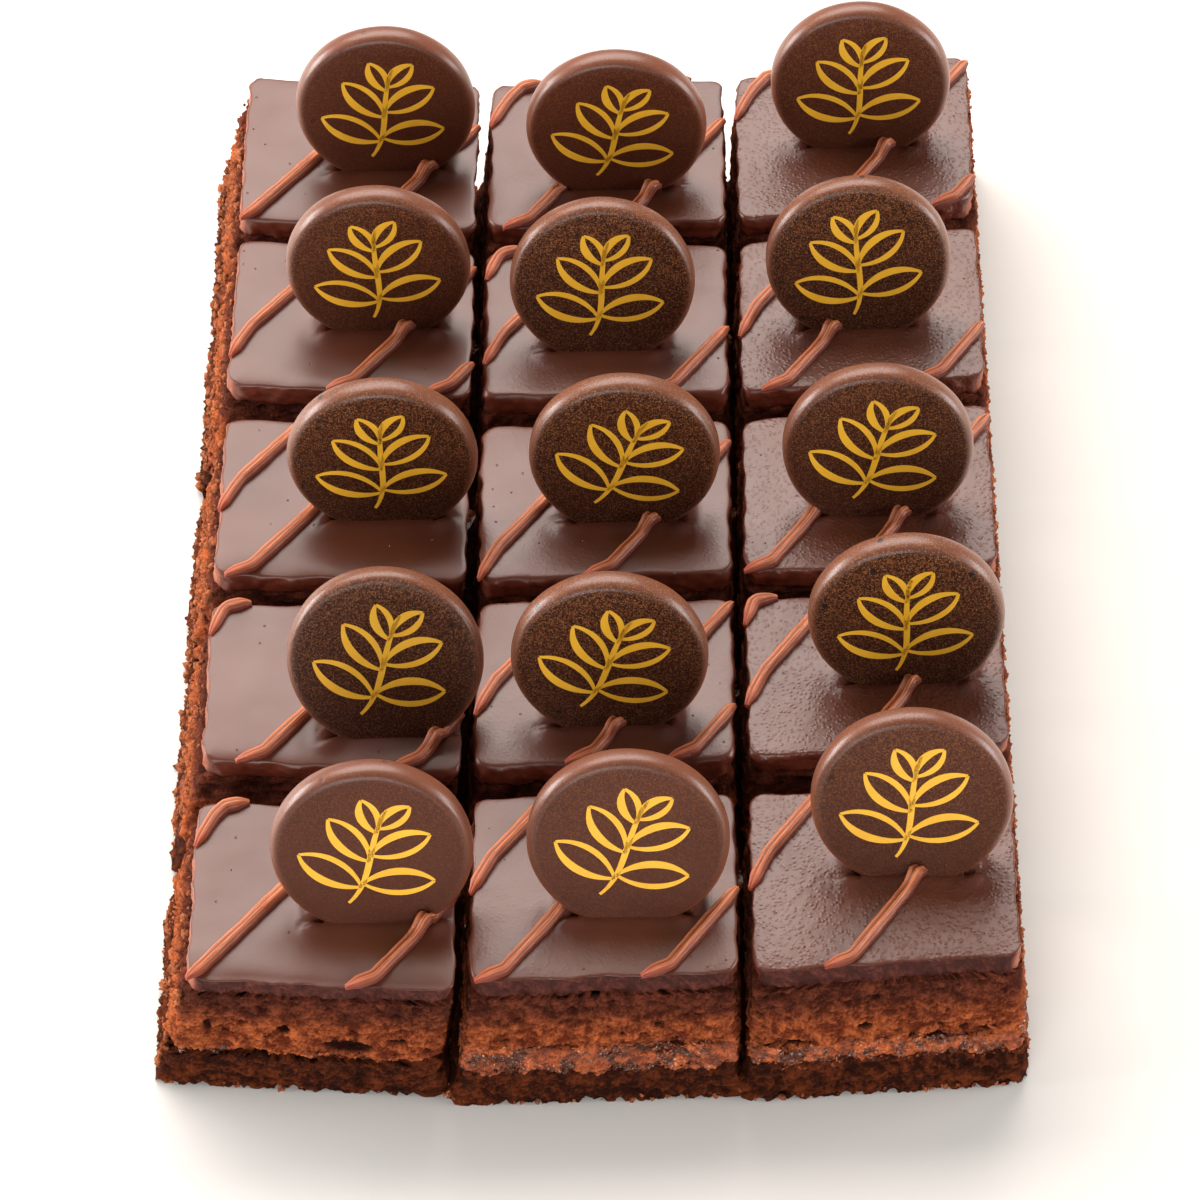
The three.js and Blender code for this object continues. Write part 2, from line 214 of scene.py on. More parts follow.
def add_mesh(name, points, faces, edges=(), **attributes):
    """A mesh piece from points in millimetres in the sheet's plan, with a value at each point."""
    mesh = bpy.data.meshes.new(name)
    moved = (np.asarray(points, float) + [SHEET_X, SHEET_Y, 0]) * MM
    mesh.from_pydata(moved.tolist(), list(edges), faces)
    for label, values in attributes.items():
        layer = mesh.attributes.new(label, "FLOAT", "POINT")
        layer.data.foreach_set("value", np.asarray(values, "f"))
    mesh.shade_smooth()
    piece = bpy.data.objects.new(name, mesh)
    bpy.context.collection.objects.link(piece)
    return piece


class Link:
    """A socket in a node tree. Sums on it add Math nodes, and node() adds any other node."""

    def __init__(self, tree, socket=None):
        self.tree, self.socket = tree, socket

    def node(self, kind, settings=None, sockets=(), output=None):
        made = self.tree.nodes.new(kind)
        for name, value in (settings or {}).items():
            setattr(made, name, value)
        inputs = [s for s in made.inputs if s.enabled]
        if isinstance(sockets, dict):
            pairs = [(next(s for s in inputs if s.name == n), v) for n, v in sockets.items()]
        else:
            pairs = zip(inputs, sockets)
        for socket, value in pairs:
            if isinstance(value, Link):
                self.tree.links.new(value.socket, socket)
            elif value is not None:
                socket.default_value = value
        outputs = [s for s in made.outputs if s.enabled and output in (None, s.name)]
        return Link(self.tree, outputs[0] if outputs else None)

    def xyz(self, x, y, z):
        """Three values as one vector."""
        return self.node("ShaderNodeCombineXYZ", sockets=[x, y, z])

    def place(self):
        """Where each point of a mesh is, in millimetres."""
        return self.node("GeometryNodeInputPosition").vector("SCALE", 1 / MM)

    def carried(self, name):
        """A value that the points of a mesh carry."""
        return self.node("GeometryNodeInputNamedAttribute", sockets=[name], output="Attribute")

    def store(self, name, value):
        """This geometry, with a value stored at each of its points."""
        return self.node("GeometryNodeStoreNamedAttribute", {"data_type": "FLOAT"},
                         {"Geometry": self, "Name": name, "Value": value})

    def set_to(self, position):
        """This geometry, with its points at a position in metres."""
        return self.node("GeometryNodeSetPosition",
                         sockets={"Geometry": self, "Position": position})

    def pushed(self, height):
        """This geometry, with its points moved out along their normals, in millimetres."""
        offset = self.node("GeometryNodeInputNormal").vector("SCALE", height * MM)
        return self.node("GeometryNodeSetPosition", sockets={"Geometry": self, "Offset": offset})

    def sum(self, operation, other=None, swapped=False):
        values = [other, self] if swapped else [self, other]
        return self.node("ShaderNodeMath", {"operation": operation}, values)

    def __add__(self, other):
        return self.sum("ADD", other)

    def __sub__(self, other):
        return self.sum("SUBTRACT", other)

    def __mul__(self, other):
        return self.sum("MULTIPLY", other)

    def __truediv__(self, other):
        return self.sum("DIVIDE", other)

    def __rsub__(self, other):
        return self.sum("SUBTRACT", other, swapped=True)

    __radd__, __rmul__ = __add__, __mul__

    def __pow__(self, other):
        return self.sum("POWER", other)

    def __gt__(self, other):
        return self.sum("GREATER_THAN", other)

    def least(self, other):
        return self.sum("MINIMUM", other)

    def most(self, other):
        return self.sum("MAXIMUM", other)

    def step(self, low, high):
        """A smooth step from 0 at low to 1 at high."""
        ends = {"Value": self, "From Min": low, "From Max": high}
        return self.node("ShaderNodeMapRange", {"interpolation_type": "SMOOTHSTEP"}, ends)

    def mix(self, other, share):
        """This colour, mixed with another by share."""
        return self.node("ShaderNodeMix", {"data_type": "RGBA"}, [share, self, other])

    def vector(self, operation, other=None):
        return self.node("ShaderNodeVectorMath", {"operation": operation}, [self, other])

    def axis(self, name):
        return self.node("ShaderNodeSeparateXYZ", sockets=[self], output=name)

    def noise(self, scale, detail=2.0, roughness=0.5, distortion=0.0):
        """Noise from 0 to 1 on this position; scale is in cycles for each unit of it."""
        look = {"Vector": self, "Scale": scale, "Detail": detail, "Roughness": roughness,
                "Distortion": distortion}
        return self.node("ShaderNodeTexNoise", sockets=look, output="Fac")

    def cells(self, scale, feature="F1", output="Distance", **sockets):
        """Cell pattern on this position."""
        look = {"Vector": self, "Scale": scale} | sockets
        return self.node("ShaderNodeTexVoronoi", {"feature": feature}, look, output)


def colour(red, green, blue):
    """A colour as seen, 0 to 255, made linear for a node."""
    return tuple(((c / 255 + 0.055) / 1.055) ** 2.4 if c > 10 else c / 3295
                 for c in (red, green, blue)) + (1.0,)


class Finish(Link):
    """A material that is being made: its node tree, with positions in millimetres."""

    def __init__(self, name):
        self.material = bpy.data.materials.new(name)
        self.material.use_nodes = True
        super().__init__(self.material.node_tree)
        self.tree.nodes.clear()
        place = self.node("ShaderNodeTexCoord", output="Object")
        self.mm = place.vector("SCALE", 1 / MM)

    def attribute(self, name):
        return self.node("ShaderNodeAttribute", {"attribute_name": name}, output="Fac")

    def tint(self, red, green, blue):
        """A fixed colour as a link, so that it can be mixed with others."""
        source = self.node("ShaderNodeRGB")
        source.socket.default_value = colour(red, green, blue)
        return source

    def between(self, one, other, share):
        """A mixture of two fixed colours."""
        return self.tint(*one).mix(self.tint(*other), share)

    def bump(self, height, strength, distance):
        """A normal from a height in millimetres."""
        look = {"Strength": strength, "Distance": distance * MM, "Height": height}
        return self.node("ShaderNodeBump", sockets=look)

    def surface(self, **sockets):
        look = {name.replace("_", " "): value for name, value in sockets.items()}
        return self.node("ShaderNodeBsdfPrincipled", sockets=look)

    def done(self, surface):
        self.node("ShaderNodeOutputMaterial", sockets={"Surface": surface})
        return self.material

    def shade(self, **sockets):
        return self.done(self.surface(**sockets))


def new_tree(name, *inputs):
    """A geometry tree with a geometry input, the named inputs and one output."""
    tree = bpy.data.node_groups.new(name, "GeometryNodeTree")
    tree.interface.new_socket("Geometry", in_out="INPUT", socket_type="NodeSocketGeometry")
    for label, kind in inputs:
        tree.interface.new_socket(label, in_out="INPUT", socket_type="NodeSocket" + kind)
    tree.interface.new_socket("Geometry", in_out="OUTPUT", socket_type="NodeSocketGeometry")
    entry = tree.nodes.new("NodeGroupInput")
    sockets = {s.name: Link(tree, s) for s in entry.outputs if s.name}
    return Link(tree), sockets


def end_tree(geometry, material):
    solid = geometry.node("GeometryNodeRealizeInstances", sockets=[geometry])
    dressed = solid.node("GeometryNodeSetMaterial", sockets={"Geometry": solid, "Material": material})
    exit_node = geometry.tree.nodes.new("NodeGroupOutput")
    geometry.tree.links.new(dressed.socket, exit_node.inputs[0])
    return geometry.tree


def above_floor(moved):
    """Flattens what has been pushed below the floor."""
    place = moved.node("GeometryNodeInputPosition")
    return moved.set_to(moved.xyz(place.axis("X"), place.axis("Y"), place.axis("Z").most(0.0)))


def settled(piece, tree, **values):
    """Runs a geometry tree on a piece and keeps the result as a plain mesh."""
    modifier = piece.modifiers.new(tree.name, "NODES")
    modifier.node_group = tree
    named = {s.name: s.identifier for s in tree.interface.items_tree if s.in_out == "INPUT"}
    for name, value in values.items():
        modifier[named[name]] = value
    graph = bpy.context.evaluated_depsgraph_get()
    mesh = bpy.data.meshes.new_from_object(
        piece.evaluated_get(graph), preserve_all_data_layers=True, depsgraph=graph)
    piece.modifiers.remove(modifier)
    rough, piece.data = piece.data, mesh
    bpy.data.meshes.remove(rough)
    mesh.name = piece.name
    mesh.shade_smooth()
    return piece


def torn(grain):
    """Height of torn crumb about the plane of its wall, and how far a point is on a crest."""
    layered = grain.vector("MULTIPLY", (1.0, 1.0, 1.5))
    rough = layered.noise(0.36, 6.0, 0.78, 0.6) - 0.5
    lumps = 0.42 - grain.cells(0.62, "SMOOTH_F1", Smoothness=0.3)
    crumbs = 0.4 - grain.cells(1.9, "F1")
    return rough * 3.0 + lumps * 0.3 + crumbs * 0.35, rough * 1.2 + lumps * 0.3 + crumbs * 0.3


def crumb_relief_tree():
    """Torn crumb: lumps and noise push the wall out and in, and air holes are eaten into it."""
    start, given = new_tree(
        "crumb_relief", ("Material", "Material"), ("Depth", "Float"), ("Holes", "Float"),
        ("Seed", "Float"))
    grain = start.place().vector("ADD", start.xyz(given["Seed"], given["Seed"], 0.0))
    height, crest = torn(grain)
    layered = grain.vector("MULTIPLY", (1.0, 1.0, 1.6))
    chosen = layered.cells(0.3, "F1", "Color").axis("X") > 0.45
    hole = (1 - layered.cells(0.3, "F1").step(0.14, 0.34)) * chosen
    small_hole = 1 - layered.cells(0.95, "F1").step(0.12, 0.3)
    eaten = given["Holes"] * (hole * 1.1 + small_hole * 0.5) + start.carried("hollow")
    height = given["Depth"] * start.carried("rugged") * height - eaten
    stored = given["Geometry"].store("crest", crest).store("pit", eaten)
    return end_tree(above_floor(stored.pushed(height)), given["Material"])


crumb_relief = crumb_relief_tree()

HOLLOWS = [  # in the front wall: x, z, half width, half height, depth
    (-48.2, 15.3, 0.9, 0.8, 2.6),
    (-38.7, 11.6, 3.4, 1.3, 2.4),
    (-31.1, 13.7, 1.6, 0.7, 1.8),
    (-59.6, 15.4, 0.7, 1.6, 1.2),
    (-51.5, 8.6, 3.5, 0.5, 1.4),
    (-24.6, 15.5, 0.8, 0.6, 1.0),
    (2.4, 15.0, 0.6, 0.5, 1.0),
    (7.3, 11.3, 3.4, 0.7, 1.2),
    (38.4, 14.6, 1.2, 0.7, 1.3),
    (47.5, 12.0, 2.6, 0.5, 1.6),
    (27.5, 12.2, 1.8, 0.5, 1.3),
    (56.6, 12.6, 1.4, 0.7, 1.4),
    (11.5, 12.2, 8.0, 0.4, 1.6),
    (-8.0, 12.4, 4.5, 0.3, 1.1),
    (26.5, 11.9, 4.5, 0.4, 1.5),
    (50.5, 11.6, 6.0, 0.4, 1.5),
]


def hollow_depth(points):
    """How deep the larger hollows of the front cut lie at each point, in millimetres."""
    depth = np.zeros(len(points))
    front = points[:, 1] < FRONT_EDGES[-1][1] + 4
    for x, z, half_width, half_height, deep in HOLLOWS:
        across = (points[:, 0] - x) / half_width
        along = (points[:, 2] - z) / half_height
        depth += deep * np.exp(-(across**2 + along**2) ** 2)
    return depth * front


def wave(x, y, seed=0.0):
    """The unevenness of a spread layer, between about -1 and 1."""
    return (0.6 * np.sin(0.31 * x + 0.17 * y + seed) * np.cos(0.23 * y - 0.11 * x)
            + 0.4 * np.sin(1.13 * x - 0.71 * y + 2.1 * seed))


OUTER_STEP, FRONT_STEP, INNER_STEP = 0.49, 0.28, 1.5
SLUMP, SLUMP_HEIGHT = 1.3, 5.0  # the strips have slumped together at the foot of their slits
FOOT_SCALLOP, FOOT_RUN = 1.5, 2.3  # how far the foot of a wall is eaten away, and over what height
LEFT_RUGGED, RIGHT_RUGGED = 1.2, 0.5  # these walls are that much rougher than the others


def wall_rings(row, column, low, high, inset=0.0, wave_low=0.0, wave_high=0.0):
    """Rings up the walls of one layer of a square, and how rugged the crumb is at each point."""
    outer = outer_sides(row, column)
    fine = FRONT_STEP if outer[0] else OUTER_STEP if any(outer) else INNER_STEP
    levels = np.linspace(low, high, max(3, round((high - low) / fine) + 1))
    size = [TOP_WIDTH, ROW_PITCH - CROSS_GAP, TOP_WIDTH, ROW_PITCH - CROSS_GAP]
    steps = [round(length / (FRONT_STEP if shows and side == 0 else OUTER_STEP if shows else
                             INNER_STEP))
             for side, (length, shows) in enumerate(zip(size, outer))]
    drawn = SHORT_OF_WALL + inset
    quads = corners(row, column, levels, EDGE_ROUND_X - drawn, EDGE_ROUND_Y - drawn)
    plan = rounded_outline(quads, steps)
    share = ((levels - low) / (high - low))[:, None]
    ripple = wave(plan[..., 0], plan[..., 1])
    z = levels[:, None] + ripple * (wave_low * (1 - share) + wave_high * share)
    eaten = FOOT_SCALLOP * np.clip(wave(2.3 * plan[..., 0], 2.3 * plan[..., 1], 4) + 0.1, 0, 1)
    z += eaten * np.clip(1 - levels / FOOT_RUN, 0, 1)[:, None]
    from_left = plan[..., 0] - quads[:, 0, 0][:, None]
    rugged = 1 + LEFT_RUGGED * (column == 1) * (1 - smoothstep(from_left, 0.5, 3))
    from_right = quads[:, 1, 0][:, None] - plan[..., 0]
    rugged += RIGHT_RUGGED * (column == COLUMNS) * (1 - smoothstep(from_right, 0.5, 3))
    slumped = SLUMP * (1 - smoothstep(levels, SLUMP_HEIGHT / 3, SLUMP_HEIGHT))[:, None]
    plan[..., 0] += slumped * (
        (column < COLUMNS) * (1 - smoothstep(from_right, 0.5, 3))
        - (column > 1) * (1 - smoothstep(from_left, 0.5, 3)))
    return np.concatenate([plan, z[..., None]], axis=-1), rugged


# Dark colour for the holes, pores and hollows of the crumb: painted shade.
HOLE_SHADE = (46, 18, 9)
LOWER_LIGHT, LOWER_DARK = (114, 52, 24), (44, 17, 8)


def crumb(finish, light, dark):
    """Torn crumb: painted light on crests, painted shade in hollows and open pores, a mottle of
    several sizes.
    """
    mottle = finish.mm.noise(0.3, 2.0)
    fine = finish.mm.noise(1.9, 3.0, 0.75)
    # Lighter on the crests of the relief, darker between them: painted light and shade, with a random
    # mottle.
    tone = (finish.attribute("crest") * 1.6 + mottle * 0.9 + fine - 0.55).step(0.0, 0.9)
    # Pores and eaten holes painted dark: painted shade.
    pores = 1 - finish.mm.cells(1.35, "F1").step(0.1, 0.3)
    hole_shade = (finish.attribute("pit").step(0.12, 1.0) + pores * 0.5).least(1.0)
    return dark.mix(light, tone).mix(finish.tint(*HOLE_SHADE), hole_shade)


def upper_tints(finish):
    """Light and dark of the upper sponge: orange-brown, and purplish where glaze soaked in."""
    high = (finish.mm.axis("Z") + finish.mm.noise(0.35, 2.0) * 7).step(18.5, 24.5)
    return (finish.between((202, 106, 58), (122, 59, 38), high),
            finish.between((100, 40, 19), (62, 24, 13), high))


def jam_colour(finish):
    """Dark amber, with reddish brighter patches where it is thin."""
    thin = finish.mm.noise(0.35, 2.0, 0.6).step(0.43, 0.64)
    return finish.between((82, 33, 16), (186, 88, 38), thin)


def crumb_bump(finish):
    granules = 0.5 - finish.mm.cells(1.6, "F1")
    return finish.bump(granules * 0.25 + finish.mm.noise(2.4, 3.0, 0.75) * 0.5, 1.0, 1.0)


upper = Finish("sponge_upper")
sponge_upper = upper.shade(
    Base_Color=crumb(upper, *upper_tints(upper)), Roughness=0.92, Normal=crumb_bump(upper),
    Specular_IOR_Level=0.12)

lower = Finish("sponge_lower")
sponge_lower = lower.shade(
    Base_Color=crumb(lower, lower.tint(*LOWER_LIGHT), lower.tint(*LOWER_DARK)),
    Roughness=0.9, Normal=crumb_bump(lower), Specular_IOR_Level=0.08)

wet = Finish("jam")
stuck = wet.mm.noise(0.17, 3.0, 0.55).step(0.5, 0.58)
jam_crumb = crumb(wet, wet.tint(206, 98, 44), wet.tint(108, 42, 18))
beads = wet.mm.noise(0.8, 2.0, 0.5) * 0.9 - wet.mm.cells(1.3, "F1") * 0.55
jam = wet.shade(
    Base_Color=jam_colour(wet).mix(jam_crumb, stuck),
    Roughness=0.1 + stuck * 0.7 + wet.mm.noise(1.2, 1.0) * 0.1,
    Normal=wet.bump(beads, 1.0, 1.0), Specular_IOR_Level=0.75,
    Specular_Tint=(1.0, 0.86, 0.74, 1.0))

# One sponge for each square behind the front row, with its jam line as a band in the wall.
whole = Finish("sponge")
level = whole.mm.axis("Z") + (whole.mm.noise(0.3, 2.0) - 0.5) * 2.4
in_lower = 1 - level.step(7.2, 8.0)
in_jam = level.step(7.2, 8.0) * (1 - level.step(9.6, 10.4))
tints = [high.mix(whole.tint(*low), in_lower)
         for high, low in zip(upper_tints(whole), (LOWER_LIGHT, LOWER_DARK))]
sponge = whole.shade(
    Base_Color=crumb(whole, *tints).mix(jam_colour(whole), in_jam * 0.85),
    Roughness=0.92 - in_jam * 0.55, Normal=crumb_bump(whole), Specular_IOR_Level=0.12)


def crumb_seed(row, column):
    return 17.0 * row + 5.0 * column


def add_layer(name, row, column, walls, material, depth, holes):
    rings, rugged = walls
    points, faces = closed_shell(rings)
    piece = add_mesh(f"{name}_{row}_{column}", points, faces, hollow=hollow_depth(points),
                     rugged=np.append(rugged.reshape(-1), [0, 0]))
    return settled(piece, crumb_relief, Material=material, Depth=depth, Holes=holes,
                   Seed=crumb_seed(row, column))


for row, column in SQUARES:
    top = GLAZE_BOTTOM + OVERLAP
    jam_low, jam_high = LOWER_SPONGE_TOP, JAM_TOP[column - 1]
    if row < ROWS:
        cuts = {"sponge": (wall_rings(row, column, 0, top), sponge, 0.9, 0.7)}
    else:
        cuts = {
            "sponge_lower": (wall_rings(row, column, 0, jam_low + OVERLAP, 0, 0, 1.0),
                             sponge_lower, 0.75, 0.7),
            "jam": (wall_rings(row, column, jam_low - OVERLAP, jam_high + OVERLAP,
                               JAM_SETBACK[column - 1], 1.0, 0.8), jam, 1.0, 0.4),
            "sponge_upper": (wall_rings(row, column, jam_high - OVERLAP, top, 0, 0.8, 0),
                             sponge_upper, 0.95, 0.8),
        }
    for layer, (walls, material, depth, holes) in cuts.items():
        piece = add_layer(layer, row, column, walls, material, depth, holes)
        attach(piece, "root")
        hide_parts(f"{layer}_r{row}c{column}")

# ---- glaze ----
# A thick chocolate glaze poured over the sponge before it was cut. It has set to a satin skin,
# smooth on the left and finely pebbled on the right, and sinks where a disc was pushed in. The
# knife has rolled its top edge over, and its cut sides are dark, rough and a little shiny.

# Foot of each disc from the middle of its square, and its lean backwards in degrees.
DISC_STANCE = [
    [(4.9, -2.3, 9), (1.9, -7.9, 6), (1.1, 0.9, 10)],
    [(4.8, -0.3, 8), (-0.3, -6.0, 14), (-0.4, -2.2, 14)],
    [(6.9, -2.9, 6), (3.3, -4.3, 10), (1.4, -3.9, 12)],
    [(8.5, -8.1, 23), (1.1, -6.7, 12), (4.7, 0.6, 10)],
    [(7.8, -4.4, 16), (3.9, -4.1, 19), (4.2, 2.7, 19)],
]
DISC_THICKNESS = 4.6
CLIMB_HALF_WIDTH, CLIMB_REACH, CLIMB = 8.5, 1.8, 0.35  # the skin climbs a little up the disc
LIP_FROM_FOOT, LIP_WIDTH, LIP_RISE = 9.2, 1.8, 1.0
TEAR_LENGTH, TEAR_DEPTH, TEAR_HALF_WIDTH = 3.4, 1.3, 0.6
TEAR_FROM_FOOT, TEAR_SPREAD = 8.6, 28  # where a tear starts, and its turn in degrees
GLAZE_ACROSS, GLAZE_DEEP = 64, 52
EDGE_LEVELS = 5
FRONT_ACROSS = 112
WALL_STEP = 0.5
HEM_DROP = 0.9  # how far the glaze hangs over the crumb
HEM_TUCK = 1.2  # how far the foot of the glaze runs back into the crumb
CUT_BACK = 0.45  # how far a cut side of the sheet has crumbled back at its foot
NICKS = 0.3  # how far the top edges wander
CUT_ROUND = 0.45  # the knife leaves the outer edges sharper than the inner ones
FRONT_DROOP, DROOP_RUN = [0.45, 0.05, 0.0], 3.0  # how far each strip's front edges bend down
PEBBLING = [0.08, 0.28, 1.0]  # of the skin, from the left strip to the right one


def disc_foot(row, column):
    middle_x, middle_y = square_centre(row, column)
    x, y, lean = DISC_STANCE[row - 1][column - 1]
    return middle_x + x, middle_y + y, math.radians(lean)


def rounded_grid(across, deep, width, depth):
    """Shares u, v of a grid over a plan, with its corners drawn in to a radius."""
    u, v = np.meshgrid(np.linspace(0, 1, across + 1), np.linspace(0, 1, deep + 1))
    in_x = np.clip((np.abs(u - 0.5) * width - width / 2) / CORNER_RADIUS + 1, 0, 1)
    in_y = np.clip((np.abs(v - 0.5) * depth - depth / 2) / CORNER_RADIUS + 1, 0, 1)
    longest = np.maximum(in_x, in_y)
    scale = np.where((in_x > 0) & (in_y > 0), longest / np.hypot(in_x, in_y).clip(1e-9), 1)
    move_x = in_x * (1 - scale) * CORNER_RADIUS / width
    move_y = in_y * (1 - scale) * CORNER_RADIUS / depth
    return u - np.sign(u - 0.5) * move_x, v - np.sign(v - 0.5) * move_y


def over_plan(quad, u, v):
    """Positions for shares u, v of a four-cornered plan."""
    u, v = u[..., None], v[..., None]
    front = quad[0] * (1 - u) + quad[1] * u
    back = quad[3] * (1 - u) + quad[2] * u
    return front * (1 - v) + back * v


def glaze_sag(row, column, x, y):
    """How far the skin lies below its level round a disc: it climbs up the face, most at the
    ends of the foot, and has a short tear at each end."""
    foot_x, foot_y, _ = disc_foot(row, column)
    across = (x - foot_x) / CLIMB_HALF_WIDTH
    face = foot_y - DISC_THICKNESS / 2
    away = (face - y) / CLIMB_REACH
    behind = (y - foot_y - DISC_THICKNESS / 2) / CLIMB_REACH
    fall = np.where(away > 0, np.exp(-(away**2)), np.where(behind > 0, np.exp(-(behind**2)), 1))
    beside = (np.abs(x - foot_x) - LIP_FROM_FOOT) / LIP_WIDTH
    sag = -(CLIMB * np.exp(-(across**4)) + LIP_RISE * np.exp(-(beside**2))) * fall
    for side in (-1, 1):
        spin = math.radians(TEAR_SPREAD * math.sin(7.1 * row + 3.3 * column + side))
        along_x, along_y = side * math.cos(spin), math.sin(spin) - 0.25
        start_x, start_y = foot_x + side * TEAR_FROM_FOOT, face + 0.6
        run = (x - start_x) * along_x + (y - start_y) * along_y
        off = (x - start_x) * along_y - (y - start_y) * along_x
        taper = np.clip(1 - run / TEAR_LENGTH, 0, 1) * (run > -1)
        sag = sag + TEAR_DEPTH * taper * np.exp(-((off / TEAR_HALF_WIDTH) ** 2))
    return sag


def glaze_body(row, column):
    """Points, faces, and values at each point: cut wall, lower hem, outer side, and side tint from
    knife smearing and painted side light.
    """
    width, depth = TOP_WIDTH, TOP_DEPTH
    across = FRONT_ACROSS if row == ROWS else GLAZE_ACROSS
    u, v = rounded_grid(across, GLAZE_DEEP, width, depth)
    skin = over_plan(corners(row, column, HEIGHT, 0, 0)[0], u, v)
    x, y = skin[..., 0], skin[..., 1]
    rim = np.minimum(np.minimum(u, 1 - u) * width, np.minimum(v, 1 - v) * depth)
    seed = 2.0 * row + column
    nicks = np.stack([wave(0.9 * y, 0.5 * x, seed), wave(0.5 * y, 0.9 * x, seed + 5)], axis=-1)
    nicks *= NICKS * np.exp(-rim / 2.5)[..., None]
    swell = 0.12 * np.sin(0.19 * x + 0.7 * row) * np.sin(0.23 * y + 1.3 * column)
    droop = 0.1 * np.exp(-rim / 1.2) + FRONT_DROOP[column - 1] * np.exp(-v * depth / DROOP_RUN)
    z = HEIGHT + swell * smoothstep(rim, 0, 5) - droop - glaze_sag(row, column, x, y)
    points = [np.concatenate([skin + nicks, z[..., None]], axis=-1).reshape(-1, 3)]
    cut, hem = [np.zeros(u.size)], [np.zeros(u.size)]
    beside = [1 - smoothstep(v * depth, 0.4, 1.5), smoothstep(u * width, width - 1.5, width - 0.4),
              smoothstep(v * depth, depth - 1.5, depth - 0.4), 1 - smoothstep(u * width, 0.4, 1.5)]
    faced = [share * shows for share, shows in zip(beside, outer_sides(row, column))]
    outward = np.maximum.reduce(faced).reshape(-1)
    # The left and right cut sides take a pinkish tint: partly glaze the knife dragged across, partly
    # painted light from the side.
    smear_and_side_light_share = np.maximum(faced[1] * 0.9, faced[3]).reshape(-1)

    number = np.arange(u.size).reshape(u.shape)
    loop = np.concatenate([number[0, :-1], number[:-1, -1], number[-1, :0:-1], number[:0:-1, 0]])
    faces = grid_quads(number)
    ring_u, ring_v = u.reshape(-1)[loop], v.reshape(-1)[loop]
    ring_top = z.reshape(-1)[loop] - HEIGHT
    wall_top, wall_foot = HEIGHT - EDGE_ROUND_Z, GLAZE_BOTTOM - HEM_DROP
    turns = np.radians(np.linspace(0, 90, EDGE_LEVELS + 1)[1:])
    stages = [(math.sin(t), HEIGHT - EDGE_ROUND_Z * (1 - math.cos(t))) for t in turns]
    levels = np.linspace(wall_top, wall_foot, round((wall_top - wall_foot) / WALL_STEP) + 1)
    stages += [(1.0, level) for level in levels[1:]]
    before = loop
    for grow, level in stages:
        down = (HEIGHT - level) / (HEIGHT - wall_foot)
        drawn = (SHORT_OF_WALL + CUT_BACK * any(outer_sides(row, column))) * min(1, down / 0.5)
        drawn += HEM_TUCK * max(0, down - 0.72) / 0.28
        quad = corners(row, column, level, grow * EDGE_ROUND_X - drawn,
                       grow * EDGE_ROUND_Y - drawn)[0]
        ring = over_plan(quad, ring_u, ring_v) + nicks.reshape(-1, 2)[loop]
        ragged = (0.5 * wave(ring[:, 0], ring[:, 1], row + 2 * column)
                  + 0.3 * wave(3.1 * ring[:, 0], 3.1 * ring[:, 1])) * smoothstep(down, 0.4, 1)
        fallen = HEIGHT - level
        sharp = np.interp(fallen, [0, EDGE_ROUND_Z, HEIGHT - wall_foot],
                          [0, CUT_ROUND, HEIGHT - wall_foot])
        keen = outward[loop]
        height = HEIGHT - fallen * (1 - keen) - sharp * keen + ring_top * (1 - down) + ragged
        after = sum(map(len, points)) + np.arange(len(loop))
        points.append(np.concatenate([ring, height[:, None]], axis=-1))
        cut.append(np.full(len(loop), float(smoothstep(HEIGHT - level, 0.1, 0.9))))
        hem.append(np.full(len(loop), float(smoothstep(down, 0.45, 1))))
        faces += np.stack([before, after, np.roll(after, -1), np.roll(before, -1)], -1).tolist()
        before = after
    faces += fan(sum(map(len, points)), before)
    points.append(points[-1].mean(0)[None])
    cut.append([1.0])
    hem.append([1.0])
    outer, smear_and_side_light = (np.concatenate([flat] + [flat[loop]] * len(stages) + [[0.0]])
                    for flat in (outward, smear_and_side_light_share))
    return np.concatenate(points), faces, {
        "cut": np.concatenate(cut), "hem": np.concatenate(hem), "outer": outer, "smear_and_side_light": smear_and_side_light}


def glaze_relief_tree():
    """Skin with a faint swell and pebbling; cut sides with lumps and crumb dragged by the knife."""
    start, given = new_tree("glaze_relief", ("Material", "Material"), ("Seed", "Float"))
    mm = start.place()
    cut, hem, outer, pebbling = map(start.carried, ("cut", "hem", "outer", "pebbling"))
    swell = (mm.noise(0.11, 1.0) - 0.5) * 0.35
    pebbles = (mm.noise(0.75, 2.0) - 0.5) * 0.24 * pebbling
    lumps = (mm.noise(0.4, 3.0, 0.6) - 0.5) * 1.7 + (mm.noise(1.3, 2.0) - 0.5) * 0.5
    frayed = (mm.noise(0.8, 4.0, 0.65) - 0.5) * 1.2
    crumbly, crest = torn(mm.vector("ADD", start.xyz(given["Seed"], given["Seed"], 0.0)))
    side = (crumbly * outer * (hem * 0.5 + 0.5)
            + (lumps * 1.3 + frayed * hem) * 0.8 * (1 - outer))
    height = (swell + pebbles) * (1 - cut) + side * cut
    return end_tree(given["Geometry"].store("crest", crest).pushed(height), given["Material"])


glaze_relief = glaze_relief_tree()


